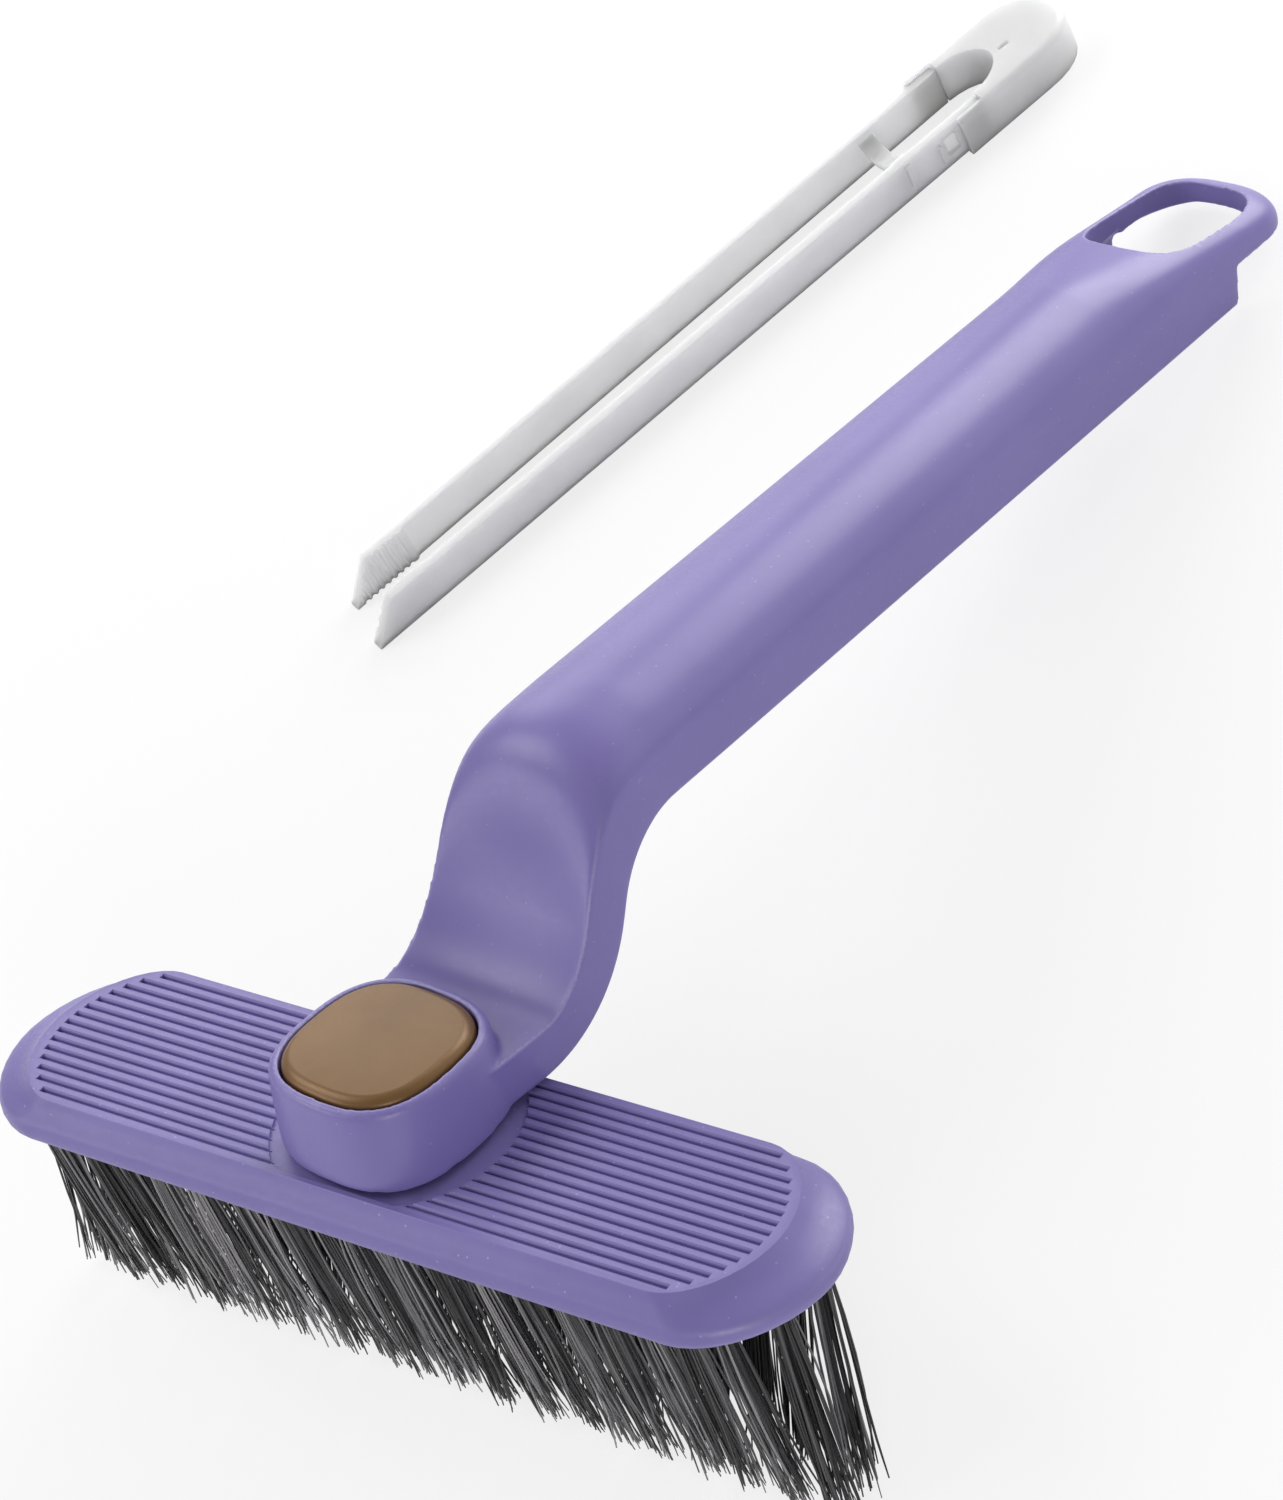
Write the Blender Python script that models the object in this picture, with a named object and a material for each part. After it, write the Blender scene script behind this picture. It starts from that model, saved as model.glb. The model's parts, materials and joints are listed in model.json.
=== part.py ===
"""A gap and drain brush: a long ribbed head that swivels under a handle's hub, bristle tufts set in
drilled holes, and a loose pair of plastic tweezers that is kept in the handle's hollow underside.

The brush lies on a table on its bristle tips and on the lower edge of its handle's end. The
tweezers lie beside it on the same table. Sizes are in millimetres here and become metres in the
meshes. The head's own frame has its origin on the swivel axis at the head's top face, X along the
head, Y towards the handle and Z up the swivel axis.
"""
import math
import random

import bmesh
import bpy
from mathutils import Matrix, Vector

MM = 0.001

# Clearances between pieces that touch or turn on each other
FIT = 0.3
SWIVEL_GAP = 0.35

# Head block
HEAD_LENGTH = 150.0
HEAD_WIDTH = 38.7
HEAD_HEIGHT = 6.9
HEAD_END_DEPTH = 15.6
HEAD_END_POWER = 1.85
CREST_INSET_SIDE = 2.6
CREST_INSET_END = 7.6
CREST_END_DEPTH = 12.0
GROOVE_COUNT = 15
GROOVE_PITCH = 2.12
GROOVE_MOUTH = 1.3
GROOVE_FLOOR = 0.46
GROOVE_DEPTH = 0.7
GROOVE_BORDER = 1.7
GROOVE_SIDE_BORDER = 0.4
PLAIN_RING_RADIUS = 19.6
PLAIN_RING_DEPTH = 0.5
PLAIN_RING_BORDER = 0.8
# Side of the head from foot to crest: share of the inset, share of the height below the crest
HEAD_PROFILE = ((0.10, 1.0), (0.03, 0.945), (0.0, 0.84), (0.01, 0.72), (0.05, 0.62), (0.14, 0.54),
                (0.30, 0.46), (0.50, 0.37), (0.70, 0.26), (0.85, 0.14), (0.95, 0.045), (1.0, 0.0))

# Swivel: boss on the head, bore in the hub, washer and screw
BOSS_RADIUS = 6.1
BOSS_HEIGHT = 7.0
SCREW_SHANK_RADIUS = 1.25
SCREW_HEAD_RADIUS = 3.6
SCREW_HEAD_HEIGHT = 2.2
SCREW_DRIVE_DEPTH = 1.1
SCREW_DRIVE_WIDTH = 0.8
SCREW_PILOT_DEPTH = 10.0
WASHER_RADIUS = 9.0
WASHER_THICKNESS = 1.0

# Hub of the handle, a rounded square drum
HUB_FOOT_HALF = 16.0
HUB_RIM_HALF = 15.2
HUB_TOP = 14.6
HUB_FOOT_ROUND = 0.6
HUB_RIM_ROUND = 1.1
HUB_POWER = 2.7
HUB_FLOOR_TOP = BOSS_HEIGHT - SWIVEL_GAP
CAP_HALF = 13.35
CAP_SEAT = 11.9
CAP_EDGE_HEIGHT = 1.5
CAP_EDGE_ROUND = 1.1
CAP_DOME = 0.45
CAP_CAVITY_RADIUS = 10.6
HUB_CLEARING = 2.0

# Neck and grip
NECK_ROOT = 1.0
NECK_ROOT_HALF_WIDTH = 14.7
NECK_START = 16.6
NECK_ABOVE_FOOT = 0.2
NECK_ANGLE = math.radians(62.0)
NECK_LOWER_RADIUS = 22.0
NECK_UPPER_RADIUS = 21.3
NECK_STRAIGHT = 3.0
NECK_THICKNESS = 9.2
NECK_HALF_WIDTH = 16.6
NECK_DISH = 0.9
NECK_SHOULDER_SWELL = 1.3
GRIP_ROOT_HALF_WIDTH = 14.7
GRIP_HALF_WIDTH = 14.0
GRIP_SLOPE = math.tan(math.radians(0.55))
GRIP_WALL_HEIGHT = 7.9
GRIP_CROWN = 11.1
GRIP_SHOULDER_CROWN = 9.1
GRIP_DRAFT = 0.5
HANDLE_CORNER = 1.4
HANDLE_END = 230.0
END_ROUND_DEPTH = 12.0
END_ROUND_POWER = 2.8
NOTCH_POSITION = 210.6
LOOP_UNDERSIDE_ABOVE_SPRING = 0.1
LOOP_CROWN = 6.2
LOOP_BLEND_START = 206.0
SHOULDER_BLEND = 13.0

# Hollow of the grip, where the tweezers are kept
CHANNEL_WALL = 2.1
CHANNEL_START = 58.0
CHANNEL_DEPTH = 10.4
CHANNEL_CORNER = 4.6

# Hanging hole
HOLE_WIDTH = 20.0
HOLE_LENGTH = 29.4
HOLE_END_WALL = 4.5
HOLE_POWER = 3.6

# Bristle tufts
TUFT_ROW_COUNT = 18
TUFT_ROW_MARGIN = 11.25
TUFT_SIDE_MARGIN = 6.35
TUFT_TIP_OFFSET = 3.0
TUFT_END_MARGIN = 6.8
TUFT_END_TIP_MARGIN = 3.2
TUFT_END_Y = 5.4
TUFT_END_TIP_Y = 2.6
TUFT_PITCH = (HEAD_LENGTH - 2.0 * TUFT_ROW_MARGIN) / (TUFT_ROW_COUNT - 1)
TUFT_ROW_OFFSET = 0.5 * HEAD_WIDTH - TUFT_SIDE_MARGIN
TUFT_END_X = 0.5 * HEAD_LENGTH - TUFT_END_MARGIN
TUFT_END_TIP_X = 0.5 * HEAD_LENGTH - TUFT_END_TIP_MARGIN
TUFT_REACH = 50.0
TUFT_RAGGED = 3.6
PLUG_RADIUS = 1.6
PLUG_LENGTH = 3.0
STRANDS_PER_TUFT = 11
STRAND_FIELD = 1.12
STRAND_BASE_RADIUS = 0.24
STRAND_TIP_RADIUS = 0.17
STRAND_SPREAD_X = 2.5
STRAND_SPREAD_Y = 1.75
STRAND_ROOT_DEPTH = 0.5
STRAND_SHORTEST_CUT = 0.15

# Pose of the handle on the head, and of the brush on the table
HEAD_TURN = math.radians(6.0)

# Tweezers: Y runs from the tips to the cap
TWEEZERS_LENGTH = 169.8
TWEEZERS_CAP_LENGTH = 30.4
TWEEZERS_CAP_START = TWEEZERS_LENGTH - TWEEZERS_CAP_LENGTH
TWEEZERS_CAP_HALF = 8.95
TWEEZERS_CAP_HEIGHT = 8.9
TWEEZERS_CAP_END_DEPTH = 11.0
TWEEZERS_CAP_ROUND = 1.6
TWEEZERS_CAP_POWER = 2.3
CAP_SLOT_DEPTH = 8.4
CAP_MARK_LENGTH = 2.2
CAP_MARK_WIDTH = 0.9
CAP_MARK_DEPTH = 0.5
CAP_MARK_PAST_START = 16.0
CAP_MARK_POSITION = TWEEZERS_CAP_START + CAP_MARK_PAST_START
CAP_MARK_X = 1.3
ARM_HEIGHT = 8.3
ARM_THICKNESS = 1.9
ARM_SPACING = 15.0
ARM_TOE_IN = 0.55
ARM_ROOT_DEPTH = 5.9
ARM_HINGE_DEPTH = 5.0
ARM_ROOT = TWEEZERS_CAP_START + ARM_ROOT_DEPTH
ARM_HINGE = TWEEZERS_CAP_START + ARM_HINGE_DEPTH
ARM_TIP_STAGGER = 1.2
ARM_SLANT = 6.4
ARM_TIP_HEIGHT = 0.5
TOOTH_COUNT = 8
TOOTH_PITCH = 1.5
TOOTH_GROOVE_DEPTH = 0.45
TOOTH_START = 1.9
GRIP_PAD_LENGTH = 14.4
GRIP_PAD_THICKNESS = 0.6
BRIDGE_BEFORE_CAP = 14.2
BRIDGE_POSITION = TWEEZERS_CAP_START - BRIDGE_BEFORE_CAP
BRIDGE_WIDTH = 3.6
BRIDGE_THICKNESS = 1.1
BRIDGE_SAG = 2.9
BRIDGE_END_GAP = 0.85
BRIDGE_TOP = 7.9
RIB_BEFORE_CAP = 12.8
RIB_POSITION = TWEEZERS_CAP_START - RIB_BEFORE_CAP
RIB_WIDTH = 1.3
RIB_OUT = 0.9
RIB_LOW = 2.0
RIB_HIGH = 7.5
LATCH_BAR_BEFORE_CAP = 5.5
LATCH_BAR_POSITION = TWEEZERS_CAP_START - LATCH_BAR_BEFORE_CAP
LATCH_BAR_WIDTH = 0.8
LATCH_POCKET_BEFORE_CAP = 3.7
LATCH_POCKET_POSITION = TWEEZERS_CAP_START - LATCH_POCKET_BEFORE_CAP
LATCH_POCKET_WIDTH = 2.9
LATCH_POCKET_DEPTH = 1.0
LATCH_LOW = 2.2
LATCH_HIGH = 6.3
TWEEZERS_X = -95.24
TWEEZERS_Y = 106.89
TWEEZERS_TURN = math.radians(24.14)

# Facet counts
OUTLINE_STEPS = 20
SQUIRCLE_STEPS = 56
ROUND_STEPS = 40
TOP_STEPS = 24
BEND_STEPS = 13


def clear_scene():
    for old in list(bpy.data.objects):
        bpy.data.objects.remove(old, do_unlink=True)


def make_collection(name):
    collection = bpy.data.collections.new(name)
    bpy.context.scene.collection.children.link(collection)
    return collection


clear_scene()
PARTS = make_collection("cleaning_brush")
CUTTERS = make_collection("cutters")


def srgb(red, green, blue):
    values = []
    for channel in (red, green, blue):
        value = channel / 255.0
        if value <= 0.04045:
            values.append(value / 12.92)
        else:
            values.append(((value + 0.055) / 1.055) ** 2.4)
    return (values[0], values[1], values[2], 1.0)


def make_material(name, colour, roughness, metallic=0.0):
    material = bpy.data.materials.new(name)
    material.use_nodes = True
    shader = material.node_tree.nodes["Principled BSDF"]
    shader.inputs["Base Color"].default_value = colour
    shader.inputs["Roughness"].default_value = roughness
    shader.inputs["Metallic"].default_value = metallic
    material.diffuse_color = colour
    return material


def make_empty(name, parent=None, matrix=None):
    empty = bpy.data.objects.new(name, None)
    PARTS.objects.link(empty)
    if parent is not None:
        empty.parent = parent
    if matrix is not None:
        empty.matrix_local = matrix
    return empty


def make_object(name, bm, parent, material=None, cutter=False):
    """Turn a millimetre bmesh into an object in metres under its parent."""
    bmesh.ops.scale(bm, vec=Vector((MM, MM, MM)), verts=bm.verts)
    bmesh.ops.recalc_face_normals(bm, faces=bm.faces)
    mesh = bpy.data.meshes.new(name)
    bm.to_mesh(mesh)
    bm.free()
    thing = bpy.data.objects.new(name, mesh)
    thing.parent = parent
    if cutter:
        CUTTERS.objects.link(thing)
        thing.hide_render = True
        thing.display_type = "WIRE"
    else:
        PARTS.objects.link(thing)
        mesh.materials.append(material)
    return thing


def smooth(thing, degrees):
    mesh = thing.data
    mesh.polygons.foreach_set("use_smooth", [True] * len(mesh.polygons))
    mesh.set_sharp_from_angle(angle=math.radians(degrees))


def cut(thing, cutter, operation="DIFFERENCE"):
    modifier = thing.modifiers.new(cutter.name, "BOOLEAN")
    modifier.operation = operation
    modifier.solver = "EXACT"
    modifier.object = cutter


def loft(bm, rings):
    """Join equal rings of points into one closed skin."""
    rows = []
    for ring in rings:
        rows.append([bm.verts.new(point) for point in ring])
    count = len(rings[0])
    for lower, upper in zip(rows[:-1], rows[1:]):
        for index in range(count):
            after = (index + 1) % count
            bm.faces.new((lower[index], lower[after], upper[after], upper[index]))
    bm.faces.new(list(reversed(rows[0])))
    bm.faces.new(rows[-1])


def add_cylinder(bm, radius, bottom, top, centre=(0.0, 0.0), steps=ROUND_STEPS):
    ring = []
    for index in range(steps):
        angle = 2.0 * math.pi * index / steps
        ring.append((centre[0] + radius * math.cos(angle), centre[1] + radius * math.sin(angle)))
    loft(bm, [[(x, y, bottom) for x, y in ring], [(x, y, top) for x, y in ring]])


def add_box(bm, low, high):
    corners = [(low[0], low[1]), (high[0], low[1]), (high[0], high[1]), (low[0], high[1])]
    loft(bm, [[(x, y, low[2]) for x, y in corners], [(x, y, high[2]) for x, y in corners]])


def power_point(half_x, half_y, power, angle):
    """A point of the rounded outline |x/a|^p + |y/b|^p = 1."""
    cosine = math.cos(angle)
    sine = math.sin(angle)
    x = half_x * math.copysign(abs(cosine) ** (2.0 / power), cosine)
    y = half_y * math.copysign(abs(sine) ** (2.0 / power), sine)
    return x, y


def head_outline(half_length, half_width, depth, power, z):
    """The head's plan: two straight sides and two rounded ends."""
    points = []
    for index in range(OUTLINE_STEPS + 1):
        angle = -0.5 * math.pi + math.pi * index / OUTLINE_STEPS
        x, y = power_point(depth, half_width, power, angle)
        points.append((half_length - depth + x, y, z))
    for index in range(OUTLINE_STEPS + 1):
        angle = 0.5 * math.pi + math.pi * index / OUTLINE_STEPS
        x, y = power_point(depth, half_width, power, angle)
        points.append((-half_length + depth + x, y, z))
    return points


def squircle(half, power, z, steps=SQUIRCLE_STEPS):
    points = []
    for index in range(steps):
        x, y = power_point(half, half, power, 2.0 * math.pi * (index + 0.5) / steps)
        points.append((x, y, z))
    return points


def quarter(value):
    """Smooth step from 0 to 1."""
    value = min(1.0, max(0.0, value))
    return value * value * (3.0 - 2.0 * value)


# The neck's middle line in the plane of Y and Z, with its slope
NECK_MIDDLE_Z = SWIVEL_GAP + NECK_ABOVE_FOOT + 0.5 * NECK_THICKNESS
RISE_Y = (NECK_LOWER_RADIUS + NECK_UPPER_RADIUS) * math.sin(NECK_ANGLE)
RISE_Y += NECK_STRAIGHT * math.cos(NECK_ANGLE)
RISE_Z = (NECK_LOWER_RADIUS + NECK_UPPER_RADIUS) * (1.0 - math.cos(NECK_ANGLE))
RISE_Z += NECK_STRAIGHT * math.sin(NECK_ANGLE)
GRIP_START = NECK_START + RISE_Y
GRIP_MIDDLE_Z = NECK_MIDDLE_Z + RISE_Z
GRIP_BOTTOM = GRIP_MIDDLE_Z - 0.5 * GRIP_WALL_HEIGHT
GRIP_SPRING = GRIP_MIDDLE_Z + 0.5 * GRIP_WALL_HEIGHT
LOOP_UNDERSIDE = GRIP_SPRING + LOOP_UNDERSIDE_ABOVE_SPRING


def grip_rise(y):
    """Height that the sloping grip has gained over its start."""
    return GRIP_SLOPE * max(0.0, y - GRIP_START)


def neck_stations():
    """Middle point, slope and share of the way from strap to grip, along the handle."""
    stations = [(NECK_ROOT, NECK_MIDDLE_Z, 0.0, 0.0)]
    for share in (0.2, 0.4, 0.6, 0.8, 1.0):
        flat_y = NECK_ROOT + (NECK_START - NECK_ROOT) * share
        stations.append((flat_y, NECK_MIDDLE_Z, 0.0, 0.0))
    steps = BEND_STEPS
    for index in range(1, steps + 1):
        angle = NECK_ANGLE * index / steps
        y = NECK_START + NECK_LOWER_RADIUS * math.sin(angle)
        z = NECK_MIDDLE_Z + NECK_LOWER_RADIUS * (1.0 - math.cos(angle))
        stations.append((y, z, angle, 0.0))
    y += NECK_STRAIGHT * math.cos(NECK_ANGLE)
    z += NECK_STRAIGHT * math.sin(NECK_ANGLE)
    for index in range(steps + 1):
        angle = NECK_ANGLE * (1.0 - index / steps)
        turned = math.sin(NECK_ANGLE) - math.sin(angle)
        point_y = y + NECK_UPPER_RADIUS * turned
        point_z = z + NECK_UPPER_RADIUS * (math.cos(angle) - math.cos(NECK_ANGLE))
        stations.append((point_y, point_z, angle, quarter(0.3 + 0.64 * index / steps)))
    return stations


def handle_section(station, half, crown_share, crown, thickness, swell=0.0):
    """One cross-section of strap or grip, square to the middle line."""
    y, z, angle, _ = station
    along_n = Vector((0.0, -math.sin(angle), math.cos(angle)))
    middle = Vector((0.0, y, z))
    foot = max(half - GRIP_DRAFT, 0.3 * half)
    corner = min(HANDLE_CORNER, 0.6 * foot)
    flat = []
    for index in range(4):
        turn = 0.5 * math.pi * index / 3
        flat.append((foot - corner + corner * math.sin(turn), corner - corner * math.cos(turn)))
    outline = [(-x, height) for x, height in reversed(flat)]
    outline += flat
    for index in range(TOP_STEPS + 1):
        turn = math.pi * index / TOP_STEPS
        share = math.cos(turn)
        dish = -NECK_DISH * math.sin(turn) ** 2
        dome = crown * math.sin(turn)
        height = thickness + swell + (1.0 - crown_share) * dish + crown_share * dome
        outline.append((half * share, height))
    points = []
    for x, height in outline:
        point = middle + along_n * (height - 0.5 * thickness)
        points.append((x, point.y, point.z))
    return points


def handle_rings():
    rings = []
    stations = neck_stations()
    for station in stations:
        share = station[3]
        progress = quarter((station[0] - NECK_START) / RISE_Y)
        flare = quarter((station[0] - NECK_ROOT) / (NECK_START + 0.5 * RISE_Y - NECK_ROOT))
        half = NECK_ROOT_HALF_WIDTH + (NECK_HALF_WIDTH - NECK_ROOT_HALF_WIDTH) * flare
        half += (GRIP_ROOT_HALF_WIDTH - NECK_HALF_WIDTH) * progress
        thickness = NECK_THICKNESS + (GRIP_WALL_HEIGHT - NECK_THICKNESS) * progress
        swell = NECK_SHOULDER_SWELL * math.sin(math.pi * max(0.0, 2.0 * progress - 1.0))
        rings.append(handle_section(station, half, share, GRIP_SHOULDER_CROWN, thickness, swell))
    top_share = stations[-1][3]
    for index in range(1, 6):
        share = top_share + (1.0 - top_share) * quarter(index / 5)
        y = GRIP_START + SHOULDER_BLEND * index / 5
        station = (y, GRIP_MIDDLE_Z + grip_rise(y), 0.0, share)
        rings.append(handle_section(station, GRIP_ROOT_HALF_WIDTH, share, GRIP_SHOULDER_CROWN,
                                    GRIP_WALL_HEIGHT))
    round_start = HANDLE_END - END_ROUND_DEPTH
    for index in range(6):
        share = index / 6
        crown = GRIP_CROWN + (LOOP_CROWN - GRIP_CROWN) * quarter(share)
        y = LOOP_BLEND_START + (round_start - LOOP_BLEND_START) * share
        station = (y, GRIP_MIDDLE_Z + grip_rise(y), 0.0, 1.0)
        rings.append(handle_section(station, GRIP_HALF_WIDTH, 1.0, crown, GRIP_WALL_HEIGHT))
    steps = 11
    for index in range(steps + 1):
        turn = 0.5 * math.pi * index / steps
        reach = math.sin(turn) ** (2.0 / END_ROUND_POWER)
        left = max((1.0 - reach ** END_ROUND_POWER) ** (1.0 / END_ROUND_POWER), 0.12)
        y = round_start + END_ROUND_DEPTH * reach
        station = (y, GRIP_MIDDLE_Z + grip_rise(y), 0.0, 1.0)
        half = GRIP_HALF_WIDTH * left
        crown = LOOP_CROWN * (0.35 + 0.65 * left)
        rings.append(handle_section(station, half, 1.0, crown, GRIP_WALL_HEIGHT))
    return rings


PURPLE = make_material("lavender_plastic", srgb(121, 111, 168), 0.42)
HEAD_PURPLE = make_material("lavender_plastic_head", srgb(118, 108, 165), 0.45)
GOLD = make_material("bronze_lacquer", srgb(139, 106, 68), 0.32, 0.35)
STEEL = make_material("zinc_steel", srgb(168, 168, 165), 0.35, 0.9)
BRISTLE = make_material("black_nylon", srgb(52, 52, 54), 0.5)
CLOUDY = make_material("cloudy_white_plastic", srgb(222, 222, 222), 0.38)

# Empties: the brush on its table, the head, the turning handle and the tweezers
HANDLE_CORNER_X = -(GRIP_HALF_WIDTH - GRIP_DRAFT - HANDLE_CORNER)
CONTACT_Y = HANDLE_CORNER_X * math.sin(-HEAD_TURN) + NOTCH_POSITION * math.cos(HEAD_TURN)
TILT = math.atan2(GRIP_BOTTOM + grip_rise(NOTCH_POSITION) + TUFT_REACH, CONTACT_Y)
LIFT = TUFT_REACH * math.cos(TILT)
ROW = make_empty("on_the_table")
BRUSH_MATRIX = Matrix.Translation((0.0, 0.0, LIFT * MM)) @ Matrix.Rotation(-TILT, 4, "X")
BRUSH = make_empty("brush_frame", ROW, BRUSH_MATRIX)
HANDLE_FRAME = make_empty("handle_frame", BRUSH, Matrix.Rotation(-HEAD_TURN, 4, "Z"))
TWEEZERS_MATRIX = Matrix.Translation((TWEEZERS_X * MM, TWEEZERS_Y * MM, 0.0))
TWEEZERS_MATRIX = TWEEZERS_MATRIX @ Matrix.Rotation(-TWEEZERS_TURN, 4, "Z")
TWEEZERS = make_empty("tweezers_frame", ROW, TWEEZERS_MATRIX)

# Head block: a low moulding with a lip round its foot, a raised top and the swivel's boss
HALF_LENGTH = 0.5 * HEAD_LENGTH
HALF_WIDTH = 0.5 * HEAD_WIDTH


def head_ring(share, z):
    """Outline between the foot (share 0) and the crest of the top face (share 1)."""
    length = HALF_LENGTH - CREST_INSET_END * share
    width = HALF_WIDTH - CREST_INSET_SIDE * share
    depth = HEAD_END_DEPTH + (CREST_END_DEPTH - HEAD_END_DEPTH) * share
    return head_outline(length, width, depth, HEAD_END_POWER, z)


def build_head():
    bm = bmesh.new()
    rings = [head_ring(share, -HEAD_HEIGHT * below) for share, below in HEAD_PROFILE]
    loft(bm, rings)
    head = make_object("head_block", bm, BRUSH, HEAD_PURPLE)

    ring = bmesh.new()
    add_cylinder(ring, PLAIN_RING_RADIUS, -PLAIN_RING_DEPTH, GROOVE_DEPTH, steps=64)
    band = HALF_WIDTH - CREST_INSET_SIDE - PLAIN_RING_BORDER
    for vertex in ring.verts:
        vertex.co.y = min(max(vertex.co.y, -band), band)
    bmesh.ops.remove_doubles(ring, verts=ring.verts, dist=0.01)
    cut(head, make_object("head_plain_ring", ring, BRUSH, cutter=True))

    boss = bmesh.new()
    add_cylinder(boss, BOSS_RADIUS, -0.5 * HEAD_HEIGHT, BOSS_HEIGHT)
    cut(head, make_object("head_boss_body", boss, BRUSH, cutter=True), "UNION")

    grooves = bmesh.new()
    crest_length = HALF_LENGTH - CREST_INSET_END - GROOVE_BORDER
    crest_width = HALF_WIDTH - CREST_INSET_SIDE - GROOVE_SIDE_BORDER
    mouth = 0.5 * GROOVE_MOUTH
    floor = 0.5 * GROOVE_FLOOR
    side = [(mouth, GROOVE_DEPTH), (mouth, 0.05 * GROOVE_DEPTH), (0.6 * mouth, -0.28 * GROOVE_DEPTH),
            (1.25 * floor, -0.65 * GROOVE_DEPTH), (floor, -GROOVE_DEPTH)]
    profile = [(-y, z) for y, z in side] + list(reversed(side))
    for index in range(GROOVE_COUNT):
        middle = (index - 0.5 * (GROOVE_COUNT - 1)) * GROOVE_PITCH
        across = min(abs(middle) / crest_width, 1.0)
        reach = (1.0 - across ** HEAD_END_POWER) ** (1.0 / HEAD_END_POWER)
        outer = crest_length - CREST_END_DEPTH + CREST_END_DEPTH * reach
        inner = math.sqrt(PLAIN_RING_RADIUS ** 2 - middle ** 2) - GROOVE_FLOOR
        for direction in (-1.0, 1.0):
            loft(grooves, [[(direction * x, middle + y, z) for y, z in profile]
                           for x in (inner, outer)])
    cut(head, make_object("head_grooves", grooves, BRUSH, cutter=True))

    holes = bmesh.new()
    for _, base, _ in tuft_places():
        add_cylinder(holes, PLUG_RADIUS + FIT, -HEAD_HEIGHT - PLUG_RADIUS,
                     -HEAD_HEIGHT + PLUG_LENGTH + FIT, base, 12)
    add_cylinder(holes, SCREW_SHANK_RADIUS + FIT,
                 BOSS_HEIGHT - SCREW_PILOT_DEPTH, BOSS_HEIGHT + FIT, steps=20)
    cut(head, make_object("head_holes", holes, BRUSH, cutter=True))
    smooth(head, 28.0)
    return head


# Bristle tufts: each is a bundle of nylon folded into its own hole, its ends leaning inwards
def tuft_places():
    """Name, centre of the hole and centre of the tips of every tuft."""
    places = []
    row_length = (TUFT_ROW_COUNT - 1) * TUFT_PITCH
    for index in range(TUFT_ROW_COUNT):
        x = -0.5 * row_length + index * TUFT_PITCH
        places.append(("tuft_front_%02d" % (index + 1), (x, -TUFT_ROW_OFFSET),
                       (x, -TUFT_TIP_OFFSET)))
    for index in range(TUFT_ROW_COUNT - 1):
        x = -0.5 * row_length + (index + 0.5) * TUFT_PITCH
        places.append(("tuft_rear_%02d" % (index + 1), (x, TUFT_ROW_OFFSET),
                       (x, TUFT_TIP_OFFSET)))
    number = 1
    for side_x in (-1.0, 1.0):
        for side_y in (-1.0, 1.0):
            base = (side_x * TUFT_END_X, side_y * TUFT_END_Y)
            tip = (side_x * TUFT_END_TIP_X, side_y * TUFT_END_TIP_Y)
            places.append(("tuft_end_%02d" % number, base, tip))
            number += 1
    return places


def build_tuft(name, base, tip, seed):
    chance = random.Random(seed)
    bm = bmesh.new()
    add_cylinder(bm, PLUG_RADIUS, -HEAD_HEIGHT, -HEAD_HEIGHT + PLUG_LENGTH, base, 12)
    tuft = make_object(name, bm, BRUSH, BRISTLE)
    strands = bmesh.new()
    golden = math.pi * (3.0 - math.sqrt(5.0))
    turn = chance.uniform(0.0, 2.0 * math.pi)
    for index in range(STRANDS_PER_TUFT):
        distance = STRAND_FIELD * math.sqrt((index + 0.5) / STRANDS_PER_TUFT)
        angle = turn + golden * index
        off_x = distance * math.cos(angle)
        off_y = distance * math.sin(angle)
        end_x = tip[0] + STRAND_SPREAD_X * off_x
        end_y = tip[1] + STRAND_SPREAD_Y * off_y
        ragged = STRAND_SHORTEST_CUT
        if index > 0:
            ragged = chance.uniform(STRAND_SHORTEST_CUT, TUFT_RAGGED)
        lowest = -TUFT_REACH + max(0.0, end_y * math.tan(TILT)) + ragged
        share = (-HEAD_HEIGHT - lowest) / (TUFT_REACH - HEAD_HEIGHT)
        start = Vector((base[0] + off_x, base[1] + off_y, -HEAD_HEIGHT))
        full = Vector((end_x, end_y, -TUFT_REACH)) - start
        root = start - full * (STRAND_ROOT_DEPTH / full.length)
        finish = start + full * share
        rings = []
        for place, radius in ((root, STRAND_BASE_RADIUS), (finish, STRAND_TIP_RADIUS)):
            ring = []
            for side in range(3):
                around = angle + 2.0 * math.pi * side / 3
                ring.append((place.x + radius * math.cos(around),
                             place.y + radius * math.sin(around), place.z))
            rings.append(ring)
        loft(strands, rings)
    cut(tuft, make_object(name + "_strands", strands, BRUSH, cutter=True), "UNION")
    return tuft


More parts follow.
